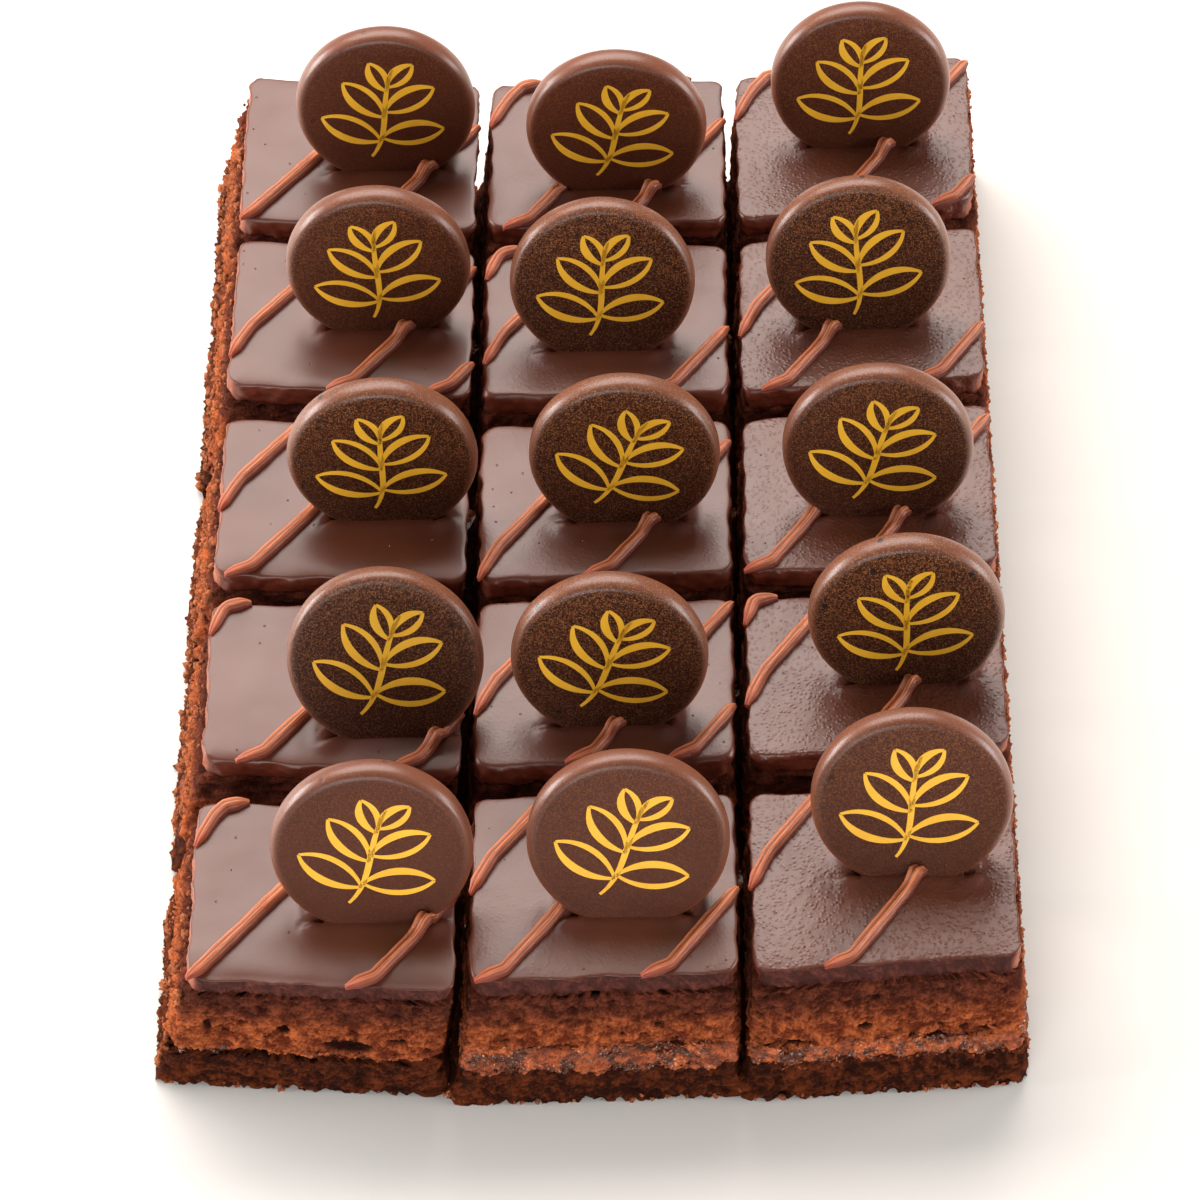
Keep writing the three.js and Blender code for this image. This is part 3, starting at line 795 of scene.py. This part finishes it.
def glaze_finish():
    """Satin chocolate; crumb shows through the lower part of the cuts."""
    skin = Finish("glaze")
    cut, hem = skin.attribute("cut"), skin.attribute("hem")
    outer, pebbling = skin.attribute("outer"), skin.attribute("pebbling")
    cloud = skin.mm.noise(0.06, 3.0)
    top = skin.between((82, 37, 21), (96, 46, 28), cloud)
    streaks = skin.mm.vector("MULTIPLY", (1.0, 1.0, 0.16)).noise(1.1, 3.0, 0.6)
    # Lighter on the crests of the cut relief, darker between them: painted light and shade, with
    # random fine noise.
    crest_light_and_grit = (skin.attribute("crest") * 1.4 + skin.mm.noise(1.6, 3.0, 0.75) - 0.2).step(0.0, 0.9)
    outer_side = skin.between((46, 17, 13), (116, 56, 44), crest_light_and_grit * 0.8 + streaks * 0.2)
    # Pinkish tint on the side cuts: partly glaze dragged by the knife, partly painted light from the
    # side.
    smear_and_side_light_tint = skin.between((132, 74, 56), (178, 112, 88), streaks)
    outer_side = outer_side.mix(smear_and_side_light_tint, skin.attribute("smear_and_side_light"))
    inner_side = skin.between((72, 28, 16), (124, 56, 36), skin.mm.noise(0.7, 3.0))
    soaked = skin.between((60, 23, 15), (118, 57, 42), crest_light_and_grit)
    shows = (hem + (skin.mm.noise(0.5, 3.0, 0.65) - 0.5) * 0.9).step(0.45, 0.75) * cut
    base = top.mix(inner_side.mix(outer_side, outer), cut).mix(soaked, shows)
    # Pinholes are dented and also painted dark: painted shade inside them.
    few = skin.mm.cells(0.42, "F1", "Color").axis("X") > 0.6
    pinholes = (1 - skin.mm.cells(0.42, "F1").step(0.04, 0.1)) * (1 - cut) * few
    pebbles = (1 - skin.mm.cells(1.5, "F1").step(0.0, 0.6)) * pebbling * 0.05
    drag = skin.mm.vector("MULTIPLY", (1.3, 1.3, 0.6)).noise(1.2, 3.0, 0.7) * cut * 0.5
    polished = skin.surface(
        Base_Color=base.mix(skin.tint(46, 24, 20), pinholes * 0.5),
        Roughness=skin.mm.noise(0.15, 2.0) * 0.1 + 0.33,
        Normal=skin.bump(pebbles - pinholes * 0.12, 1.0, 1.0), Specular_IOR_Level=0.6)
    dull = skin.surface(
        Base_Color=base, Roughness=0.78, Normal=skin.bump(drag, 1.0, 1.0),
        Specular_IOR_Level=0.16)
    share = (cut * outer + shows).least(1.0) * 0.94
    return skin.done(skin.node("ShaderNodeMixShader", sockets=[share, polished, dull]))


glaze = glaze_finish()
for row, column in SQUARES:
    points, faces, values = glaze_body(row, column)
    piece = add_mesh(f"glaze_{row}_{column}", points, faces, **values,
                     pebbling=np.full(len(points), PEBBLING[column - 1]))
    settled(piece, glaze_relief, Material=glaze, Seed=crumb_seed(row, column))
    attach(piece, "root")
    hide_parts(f"glaze_r{row}c{column}")

# ---- drizzle ----
# Lighter chocolate piped in long lines over the whole sheet, from front left to back right,
# and cut through with it. Each bead is ribbed along its length; the knife has dragged and
# flattened its ends at the edges, and where a disc was pushed in it has broken upwards.

# Each line crosses the middle of the sheet, x = 0, at one of these y, and bends a little.
DRIZZLE_CROSSINGS = [140, 112, 78.5, 57, 11, -16.5, -50.5, -71, -106, -142]
DRIZZLE_SLOPE, DRIZZLE_BEND = 1.334, 0.00103
DRIZZLE_WIDTH, DRIZZLE_HEIGHT, DRIZZLE_SINK = 1.9, 1.35, 0.6
DRIZZLE_SHORTEST = 4
# How far the knife has dragged the end of a line along an edge, and over what run.
KINK_FRONT, FRONT_RUN = 2.9, 2.0
KINK_LEFT, LEFT_RUN = 2.4, 5.0
KINK_BACK, BACK_RUN = 2.6, 1.4
DRIZZLE_SHIFTS = {  # (row, column, line): how far that line lies off there
    (2, 2, 2): -2.5, (4, 1, 3): -4.4, (4, 1, 4): 4, (2, 2, 4): -2.5,
    (2, 3, 4): -4.5, (4, 3, 6): -4.5, (5, 2, 7): -3,
}
ROUTE_STEP = 0.9
BEAD_SIDES, BEAD_STEP = 18, 0.6
DISC_FOOT_HALF = 9.0  # half the length of a disc's foot in the glaze
BROKEN_REACH, BROKEN_RISE = 1.1, 1.7  # where a disc has broken a line upwards


def drizzle_route(row, column, line):
    """Plan points of one line over a square, front end first, or none."""
    quad = corners(row, column, HEIGHT, EDGE_ROUND_X, EDGE_ROUND_Y)[0]
    left, right = quad[0][0], quad[1][0]
    x = np.linspace(left, right, 240)
    share = (x - left) / (right - left)
    y = (DRIZZLE_CROSSINGS[line] + DRIZZLE_SLOPE * x + DRIZZLE_BEND * x * x
         + DRIZZLE_SHIFTS.get((row, column, line), 0))
    front = quad[0][1] * (1 - share) + quad[1][1] * share
    back = quad[3][1] * (1 - share) + quad[2][1] * share
    inside = (y >= front) & (y <= back)
    x, y, front, back = x[inside], y[inside], front[inside], back[inside]
    if len(x) < 2 or math.hypot(x[-1] - x[0], y[-1] - y[0]) < DRIZZLE_SHORTEST:
        return None
    from_front = np.hypot(x - x[0], y - y[0])
    from_back = np.hypot(x - x[-1], y - y[-1])
    starts_left = x[0] - left < 0.5
    ends_back = back[-1] - y[-1] < 0.5
    kept = from_front >= min(LEFT_RUN if starts_left else FRONT_RUN, from_front[-1] / 2)
    if ends_back and from_front[-1] > 3 * BACK_RUN:
        kept &= from_back >= BACK_RUN
    if starts_left:
        start = (x[0], max(y[0] - KINK_LEFT, front[0]))
    else:
        start = (max(x[0] - KINK_FRONT, left), y[0])
    route_x, route_y = np.append(start[0], x[kept]), np.append(start[1], y[kept])
    if ends_back:
        route_x = np.append(route_x, min(x[-1] + KINK_BACK, right - 0.3))
        route_y = np.append(route_y, y[-1] - 0.4)
    along = np.concatenate([[0], np.cumsum(np.hypot(np.diff(route_x), np.diff(route_y)))])
    even = np.linspace(0, along[-1], max(4, round(along[-1] / ROUTE_STEP)))
    return np.stack([np.interp(even, along, route_x), np.interp(even, along, route_y)], -1)


def drizzle_tree():
    """A ribbed half-round bead along each route. The route's points carry its half width,
    its height and how far it is lifted off the glaze."""
    start, given = new_tree("drizzle_bead", ("Material", "Material"))

    path = start.node("GeometryNodeMeshToCurve", sockets={"Mesh": given["Geometry"]})
    path = start.node("GeometryNodeResampleCurve", {"mode": "LENGTH"},
                      {"Curve": path, "Length": BEAD_STEP * MM})
    path = start.node("GeometryNodeSetCurveNormal", {"mode": "Z_UP"}, {"Curve": path})
    path = path.store("along", start.node("GeometryNodeSplineParameter", output="Length") / MM)
    ring = start.node("GeometryNodeCurvePrimitiveCircle", {"mode": "RADIUS"},
                      {"Resolution": BEAD_SIDES, "Radius": 1.0}, "Curve")
    ring = ring.store("around", start.node("GeometryNodeSplineParameter", output="Factor"))
    bead = start.node("GeometryNodeCurveToMesh", sockets={
        "Curve": path, "Profile Curve": ring, "Scale": start.carried("half") * MM,
        "Fill Caps": True})
    mm = start.place()
    bead = bead.store("crown", (mm.axis("Z") - HEIGHT) / start.carried("half"))
    turn = start.carried("around") * (2 * math.pi)
    wrap = start.xyz(
        turn.sum("COSINE") * 1.9, turn.sum("SINE") * 1.9, start.carried("along") * 0.04)
    drift = wrap.noise(0.6, 2.0) * 3.0
    ribs = (turn * 2.5 + drift).sum("SINE").sum("ABSOLUTE") - 0.65
    fibre = ribs * 0.28 + (wrap.noise(1.3, 3.0, 0.6) - 0.5) * 0.36
    knots = (mm.noise(0.5, 2.0) - 0.5) * 0.1
    crown = start.carried("crown")
    up = (crown.most(0.0) ** 0.5) * start.carried("tall") + crown.least(0.0) * DRIZZLE_SINK
    lifted = start.xyz(mm.axis("X"), mm.axis("Y"), up + (start.carried("lift") + HEIGHT))
    bead = bead.set_to(lifted.vector("SCALE", MM))
    bead = bead.pushed((fibre + knots) * crown.step(-0.3, 0.2)).store("fibre", fibre)
    return end_tree(bead, given["Material"])


drizzle_bead = drizzle_tree()

piped = Finish("drizzle")
wrap_turn = piped.attribute("around") * (2 * math.pi)
threads = piped.xyz(
    wrap_turn.sum("COSINE") * 3, wrap_turn.sum("SINE") * 3, piped.attribute("along") * 0.12)
thread = threads.noise(1.6, 4.0, 0.65)
# Bead tops painted lighter and their sides darker: painted light and shade.
painted_top_light = piped.attribute("crown").step(0.15, 0.85)
bead_colour = piped.between((116, 46, 26), (216, 124, 76), painted_top_light)
# Darker in the grooves between the fine threads and the ribs: painted shade.
bead_colour = bead_colour.mix(piped.tint(104, 38, 19), (1 - thread.step(0.34, 0.62)) * 0.65)
bead_colour = bead_colour.mix(
    piped.tint(92, 35, 18), (1 - piped.attribute("fibre").step(-0.18, 0.04)) * 0.8)
bead_colour = bead_colour.mix(piped.tint(170, 66, 36), piped.attribute("end") * 0.8)
drizzle = piped.shade(
    Base_Color=bead_colour, Roughness=thread * 0.15 + 0.36,
    Normal=piped.bump(thread * 0.25 + piped.mm.noise(2.2, 3.0) * 0.1, 0.8, 1.0),
    Specular_IOR_Level=0.5)


def add_drizzle(row, column):
    points, edges = [], []
    half, tall, lift, end = [], [], [], []
    foot_x, foot_y, _ = disc_foot(row, column)
    for line in range(len(DRIZZLE_CROSSINGS)):
        route = drizzle_route(row, column, line)
        if route is None:
            continue
        first = len(points)
        away = np.arange(len(route)) * ROUTE_STEP
        near_end = np.minimum(away, away[::-1])
        front_end = np.exp(-away / 1.8)
        wobble = 0.05 * np.sin(0.5 * away + line) + 0.03 * np.sin(1.7 * away + 2 * row)
        width = DRIZZLE_WIDTH / 2 * (1 + wobble) * (0.35 + 0.65 * smoothstep(near_end, 0, 2.2))
        height = DRIZZLE_HEIGHT * (1 + wobble * 0.6) * (1 - 0.6 * front_end)
        height *= 0.4 + 0.6 * smoothstep(near_end, 0, 1.2)
        face_y = foot_y - DISC_THICKNESS / 2
        beside = smoothstep(DISC_FOOT_HALF + 1 - np.abs(route[:, 0] - foot_x), 0, 2)
        climb = np.exp(-(((route[:, 1] - face_y + 0.7) / BROKEN_REACH) ** 2)) * beside
        sag = glaze_sag(row, column, route[:, 0], route[:, 1])
        points += [(x, y, HEIGHT) for x, y in route]
        edges += [(i, i + 1) for i in range(first, len(points) - 1)]
        half += (width * (1 + 0.25 * climb)).tolist()
        tall += height.tolist()
        lift += (BROKEN_RISE * climb - sag * (1 - climb) * 0.8).tolist()
        end += (np.exp(-away / 2.0) * 0.9).tolist()
    piece = add_mesh(f"drizzle_{row}_{column}", points, [], edges,
                     half=half, tall=tall, lift=lift, end=end)
    return settled(piece, drizzle_bead, Material=drizzle)


for row, column in SQUARES:
    piece = add_drizzle(row, column)
    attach(piece, "root")
    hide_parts(f"glaze_r{row}c{column}")

# ---- discs ----
# Moulded chocolate discs with a flat face and a broad rounded rim, pushed edgewise into the
# glaze and leaning back. A fine golden dust lies on them, thick on some and thin on others,
# and a few have small air holes near the rim.

DISC_RADIUS, DISC_EDGE = 15, 1.5
RIM_POWER = 2.3
DISC_AROUND, DISC_RIM_STEPS, DISC_FACE_STEPS = 112, 9, 5
DUSTING = [  # how thick the dust lies
    [0.4, 0.45, 0.6],
    [0.7, 1.0, 0.95],
    [0.9, 0.95, 0.8],
    [0.85, 0.95, 1.0],
    [0.4, 0.5, 0.65],
]


def disc_axes(row, column):
    """Centre of a disc, and the directions to its right, up its face and out of its face."""
    foot_x, foot_y, lean = disc_foot(row, column)
    centre = np.array([foot_x, foot_y + DISC_RISE * math.sin(lean),
                       HEIGHT + DISC_RISE * math.cos(lean)])
    up = np.array([0, math.sin(lean), math.cos(lean)])
    out = np.array([0, -math.cos(lean), math.sin(lean)])
    return centre, np.array([1.0, 0, 0]), up, out


def add_disc(row, column):
    half = DISC_THICKNESS / 2
    bend = np.linspace(0, math.pi / 2, DISC_RIM_STEPS)
    rim_r = DISC_RADIUS - DISC_EDGE + DISC_EDGE * np.sin(bend) ** (2 / RIM_POWER)
    rim_h = half * np.cos(bend) ** (2 / RIM_POWER)
    face_r = np.linspace(1.2, DISC_RADIUS - DISC_EDGE, DISC_FACE_STEPS, endpoint=False)
    face_h = np.full(DISC_FACE_STEPS, half)
    radii = np.concatenate([face_r, rim_r, rim_r[-2::-1], face_r[::-1]])
    heights = np.concatenate([face_h, rim_h, -rim_h[-2::-1], -face_h[::-1]])
    centre, right, up, out = disc_axes(row, column)
    angle = np.linspace(0, 2 * math.pi, DISC_AROUND, endpoint=False)
    seed = 3.1 * row + 1.7 * column
    uneven = 1 + 0.003 * np.sin(3 * angle + seed) + 0.0015 * np.sin(8 * angle + 2 * seed)
    rings = np.stack([
        centre + (r * uneven * np.cos(angle))[:, None] * right
        + (r * uneven * np.sin(angle))[:, None] * up + h * out
        for r, h in zip(radii, heights)])
    points, faces = closed_shell(rings[::-1])
    rim = np.concatenate([np.repeat(radii[::-1] / DISC_RADIUS, DISC_AROUND), [0, 0]])
    return add_mesh(f"disc_{row}_{column}", points, faces, rim=rim,
                    dusting=np.full(len(points), DUSTING[row - 1][column - 1]))


moulded = Finish("disc")
dusting, rim = moulded.attribute("dusting"), moulded.attribute("rim")
# The dust thickens towards the top of each disc, so the face grows lighter upwards.
dust_towards_top = dusting * (moulded.mm.axis("Z").step(28, 56) * 0.65 + 0.4)
powder = moulded.mm.noise(3.0, 2.0, 0.7)
grains = 1 - moulded.mm.cells(3.4, "F1").step(0.12, 0.42)
bright_grains = grains * (moulded.mm.cells(3.4, "F1", "Color").axis("X") > 0.5)
dark_cocoa = moulded.between((66, 30, 18), (80, 40, 26), moulded.mm.noise(0.12, 2.0))
cocoa = dark_cocoa.mix(moulded.tint(46, 18, 7), dusting.step(0.5, 0.9))
# The rounded rim painted lighter all round: a painted highlight.
cocoa = cocoa.mix(moulded.tint(122, 68, 46), rim.step(0.9, 1.0) * 0.7)
dusted = cocoa.mix(moulded.tint(124, 70, 36), powder.step(0.43, 0.66) * dust_towards_top)
dusted = dusted.mix(moulded.tint(190, 138, 88), bright_grains * dust_towards_top * dusting * 0.7)
# Air holes are dented and also painted dark: painted shade inside them.
air_hole = (1 - moulded.mm.cells(0.16, "F1").step(0.05, 0.1)) * rim.step(0.6, 0.8) * dusting
disc_chocolate = moulded.shade(
    Base_Color=dusted.mix(moulded.tint(40, 20, 14), air_hole),
    Roughness=dusting * 0.14 + moulded.mm.noise(0.4, 2.0) * 0.1 + 0.36,
    Normal=moulded.bump(powder * dusting * 0.14 + grains * dusting * 0.08
                        + moulded.mm.noise(0.9, 2.0) * 0.02 - air_hole * 0.3, 1.0, 1.0),
    Specular_IOR_Level=0.14, Coat_Weight=rim.step(0.88, 0.97) * 0.75 + 0.03,
    Coat_Roughness=0.33)

for row, column in SQUARES:
    piece = add_disc(row, column)
    piece.data.materials.append(disc_chocolate)
    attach(piece, "root")
    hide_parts(f"disc_r{row}c{column}")

# ---- prints ----
# A golden sprig printed on the face of each disc with cocoa butter colour: a curved stem with
# three pairs of open leaves, drawn as a pen draws them, thick in the middle of a stroke and
# thin at its ends. Each disc stands turned a little, so its sprig does too.

PRINT_TURNS = [[7, 12, 2], [-3, 4, -5], [0, 22, 15], [15, 20, 0], [14, 18, 5]]  # clockwise
PRINT_THICKNESS = 0.06
STROKE_STEPS = 26
THIN, THICK = 0.5, 1.35
STEM = [(-1.6, -9.2), (1.4, -4.6), (-1.2, 2.0), (0.6, 8.6)]
LEAVES = [  # share of the stem, side, length, angle above level, fullness
    (0.22, -1, 10.8, 20, 2.7), (0.26, 1, 10.6, 16, 2.6),
    (0.50, -1, 9.6, 40, 2.4), (0.56, 1, 9.6, 36, 2.4),
    (0.78, -1, 6.2, 58, 1.6), (0.82, 1, 6.2, 52, 1.6),
]


def bezier(ends, share):
    t = np.asarray(share, float)[..., None]
    a, b, c, d = np.array(ends, float)
    return a * (1 - t) ** 3 + 3 * b * t * (1 - t) ** 2 + 3 * c * t**2 * (1 - t) + d * t**3


def sprig_strokes():
    """Centre lines of the strokes in the plane of the face."""
    share = np.linspace(0, 1, STROKE_STEPS)
    strokes = [bezier(STEM, share)]
    for where, side, length, angle, full in LEAVES:
        root = bezier(STEM, where)
        lift = math.radians(angle)
        along = np.array([side * math.cos(lift), math.sin(lift)])
        across = np.array([-along[1], along[0]])
        tip = root + along * length
        for bow in (full, -full):
            strokes.append(bezier(
                [root, root + along * length * 0.3 + across * bow,
                 root + along * length * 0.75 + across * bow, tip], share))
    return strokes


def add_print(row, column):
    centre, right, up, out = disc_axes(row, column)
    roll = math.radians(PRINT_TURNS[row - 1][column - 1])
    swing = np.array([[math.cos(roll), math.sin(roll)], [-math.sin(roll), math.cos(roll)]])
    points, faces = [], []
    for number, line in enumerate(sprig_strokes()):
        heading = unit(np.gradient(line, axis=0))
        side = np.stack([-heading[:, 1], heading[:, 0]], -1)
        share = np.linspace(0, 1, len(line))
        pen = THIN + (THICK - THIN) * np.sin(math.pi * share) ** 1.3 * (1 if number % 2 else 0.6)
        half = pen[:, None] / 2
        edges = [line - side * half, line - side * half * 0.9, line + side * half * 0.9,
                 line + side * half]
        base = DISC_THICKNESS / 2 - 0.02
        levels = [base, base + PRINT_THICKNESS, base + PRINT_THICKNESS, base]
        first = len(points)
        for flat, level in zip(edges, levels):
            turned = flat @ swing.T
            for a, b in turned:
                points.append(centre + a * right + b * up + level * out)
        number = first + np.arange(4 * len(line)).reshape(4, -1)
        faces += grid_quads(np.vstack([number, number[:1]]))
        faces += [number[:, 0].tolist(), number[::-1, -1].tolist()]
    return add_mesh(f"print_{row}_{column}", points, faces)


gold = Finish("print")
uneven = gold.mm.noise(0.5, 2.0)
print_gold = gold.shade(
    Base_Color=gold.between((228, 164, 28), (240, 186, 50), uneven),
    Roughness=gold.mm.noise(2.0, 2.0) * 0.15 + 0.45,
    Normal=gold.bump(gold.mm.noise(2.5, 3.0) * 0.05, 1.0, 1.0), Specular_IOR_Level=0.4)

for row, column in SQUARES:
    piece = add_print(row, column)
    piece.data.shade_flat()
    piece.data.materials.append(print_gold)
    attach(piece, "root")

# ---- loose crumbs ----
# Crumbs that the knife tore from the sponge. They cling to the outer walls of the sheet, the
# largest on the left side, hang along the foot of the front, and lie between the strips.

CLINGING = {"front": 1.6, "right": 0.8, "back": 0.3, "left": 0.8}  # crumbs for each mm2
CRUMB_SMALLEST, CRUMB_LARGEST, CRUMB_LARGEST_LEFT = 0.2, 0.8, 1.1
WALL_STRIP, FOOT_STRIP = [0.5, 6, 12, 18, 24], [0.3, 1.2]  # heights that hold crumbs
FALLEN_AT = 1.5  # mm above the floor
FALLEN = 2.5  # crumbs for each mm2 of the floor between two strips


def outer_wall(row, column, side, heights):
    """A strip of the outer wall on one side of a square, with its bottom and top heights."""
    quads = corners(row, column, heights, EDGE_ROUND_X - SHORT_OF_WALL,
                    EDGE_ROUND_Y - SHORT_OF_WALL)
    start, end = quads[:, side], quads[:, (side + 1) % 4]
    share = np.linspace(0.02, 0.98, 40)
    plan = start[:, None] * (1 - share)[:, None] + end[:, None] * share[:, None]
    z = np.broadcast_to(np.asarray(heights, float)[:, None, None], plan.shape[:2] + (1,))
    return np.concatenate([plan, z], axis=-1)


def crumb_tree():
    """Knobbly crumbs of uneven size, scattered on a wall by the density it carries."""
    start, given = new_tree("crumbs", ("Material", "Material"), ("Smallest", "Float"),
                            ("Largest", "Float"), ("Seed", "Int"))

    def chance(kind, low, high, seed):
        return start.node("FunctionNodeRandomValue", {"data_type": kind},
                          {"Min": low, "Max": high, "Seed": seed}, "Value")

    spots = start.node("GeometryNodeDistributePointsOnFaces", {"distribute_method": "RANDOM"},
                       {"Mesh": given["Geometry"], "Density": start.carried("loose") / MM**2,
                        "Seed": given["Seed"]}, "Points")
    block = start.node("GeometryNodeMeshCube", sockets={
        "Size": (2.0, 2.0, 2.0), "Vertices X": 3, "Vertices Y": 3, "Vertices Z": 3}, output="Mesh")
    lump = block.set_to(start.node("GeometryNodeInputPosition").vector("NORMALIZE"))
    size = chance("FLOAT", 0.0, 1.0, 3) ** 4.0
    radius = given["Smallest"] + (given["Largest"] - given["Smallest"]) * size
    squash = start.xyz(
        radius, radius * chance("FLOAT", 0.6, 1.0, 5), radius * chance("FLOAT", 0.6, 1.0, 6))
    turned = chance("FLOAT_VECTOR", (0.0, 0.0, 0.0), (6.28, 6.28, 6.28), 4)
    set_out = start.node("GeometryNodeInstanceOnPoints", sockets={
        "Points": spots, "Instance": lump, "Rotation": turned,
        "Scale": squash.vector("SCALE", MM)})
    solid = start.node("GeometryNodeRealizeInstances", sockets=[set_out])
    knobs = (start.place().noise(1.5, 2.0, 0.7) - 0.5) * 2.2
    return end_tree(above_floor(solid.pushed(knobs)), given["Material"])


scattered = crumb_tree()

loose = Finish("loose_crumb")
crumb_tone = loose.mm.noise(0.5, 3.0)
crumb_fine = loose.mm.noise(2.4, 3.0, 0.7)
pale_share = (crumb_tone * 0.8 + crumb_fine * 0.8).step(0.5, 1.1)
loose_crumb = loose.shade(
    Base_Color=loose.between((100, 44, 22), (200, 118, 76), pale_share),
    Roughness=0.9, Normal=loose.bump(crumb_fine, 1.0, 0.6), Specular_IOR_Level=0.12)


def crumb_bed(side, heights, clinging):
    """The outer walls on one side of the sheet as a bare strip that carries a density."""
    points, faces, density = [], [], []
    for row, column in SQUARES:
        if not outer_sides(row, column)[side]:
            continue
        strip = outer_wall(row, column, side, heights)
        rows, count, _ = strip.shape
        first = sum(map(len, points))
        flat = strip.reshape(-1, 3)
        points.append(flat)
        clump = 0.5 + 0.5 * wave(flat[:, 0] * 1.3, flat[:, 1] * 1.3, flat[0, 1])
        low = np.repeat(np.linspace(1.0, 0.35, rows), count)
        density.append(clinging * clump * low)
        faces += grid_quads(first + np.arange(rows * count).reshape(rows, count))
    return np.concatenate(points), faces, np.concatenate(density)


def slit_bed():
    """The floor between the strips as a bare sheet that carries a density."""
    points, faces = [], []
    for column in range(1, COLUMNS):
        first = len(points)
        for row in range(1, ROWS + 1):
            left, right = (corners(row, c, FALLEN_AT, EDGE_ROUND_X, EDGE_ROUND_Y)[0]
                           for c in (column, column + 1))
            points += [left[2], right[3], left[1], right[0]]
        for i in range(first, len(points) - 2, 2):
            faces.append([i, i + 2, i + 3, i + 1])
    level = np.full((len(points), 1), FALLEN_AT)
    return np.hstack([points, level]), faces, np.full(len(points), FALLEN)


beds = {label: crumb_bed(side, FOOT_STRIP if label == "front" else WALL_STRIP, CLINGING[label])
        for side, label in enumerate(("front", "right", "back", "left"))}
beds["slits"] = slit_bed()
for number, (label, (points, faces, density)) in enumerate(beds.items()):
    piece = add_mesh("crumbs_" + label, points, faces, loose=density)
    largest = CRUMB_LARGEST_LEFT if label == "left" else CRUMB_LARGEST
    settled(piece, scattered, Material=loose_crumb, Smallest=CRUMB_SMALLEST, Largest=largest,
            Seed=11 + number)
    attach(piece, "root")

# ---- floor and light ----
# A pale table that runs out of sight. A broad soft window stands behind and above the sheet
# and lays its sheen over the glaze; weaker lamps light the walls from both sides and the front.

FLOOR_HALF = 3.0


def soft_lamp(name, place, target, width, height, power, tone=(1.0, 1.0, 1.0)):
    light = bpy.data.lights.new(name, "AREA")
    light.shape = "RECTANGLE"
    light.size, light.size_y = width, height
    light.energy, light.color = power, tone
    lamp = bpy.data.objects.new(name, light)
    lamp.location = place
    lamp.rotation_euler = (Vector(place) - Vector(target)).to_track_quat("Z", "Y").to_euler()
    bpy.context.collection.objects.link(lamp)
    return lamp


floor_mesh = bpy.data.meshes.new("floor")
floor_corners = [(x * FLOOR_HALF, y * FLOOR_HALF, 0) for x, y in ((-1, -1), (1, -1), (1, 1), (-1, 1))]
floor_mesh.from_pydata(floor_corners, [], [(0, 1, 2, 3)])
floor = bpy.data.objects.new("floor", floor_mesh)
bpy.context.collection.objects.link(floor)
table = Finish("table")
floor_mesh.materials.append(table.shade(Base_Color=colour(226, 223, 218), Roughness=0.7,
                                        Specular_IOR_Level=0.2))

soft_lamp("window", (-0.12, 0.66, 0.80), (0, 0, 0.02), 1.1, 0.7, 18, (1.0, 0.925, 0.87))
soft_lamp("left_fill", (-0.92, 0.16, 0.24), (0, 0, 0.02), 0.8, 0.3, 14.0)
soft_lamp("right_fill", (0.95, -0.05, 0.24), (0, 0, 0.02), 0.8, 0.3, 9.5)
soft_lamp("front_fill", (-0.25, -1.0, 0.50), (0, 0, 0.04), 0.7, 0.3, 4.5)
soft_lamp("glint", (-0.10, -0.9, 0.12), (0, 0, 0.02), 0.35, 0.05, 2.2)
world = bpy.data.worlds.new("room")
bpy.context.scene.world = world
world.use_nodes = True
world.node_tree.nodes["Background"].inputs["Color"].default_value = (1.0, 0.97, 0.94, 1)
world.node_tree.nodes["Background"].inputs["Strength"].default_value = 0.22
bpy.context.scene.view_settings.view_transform = "Standard"
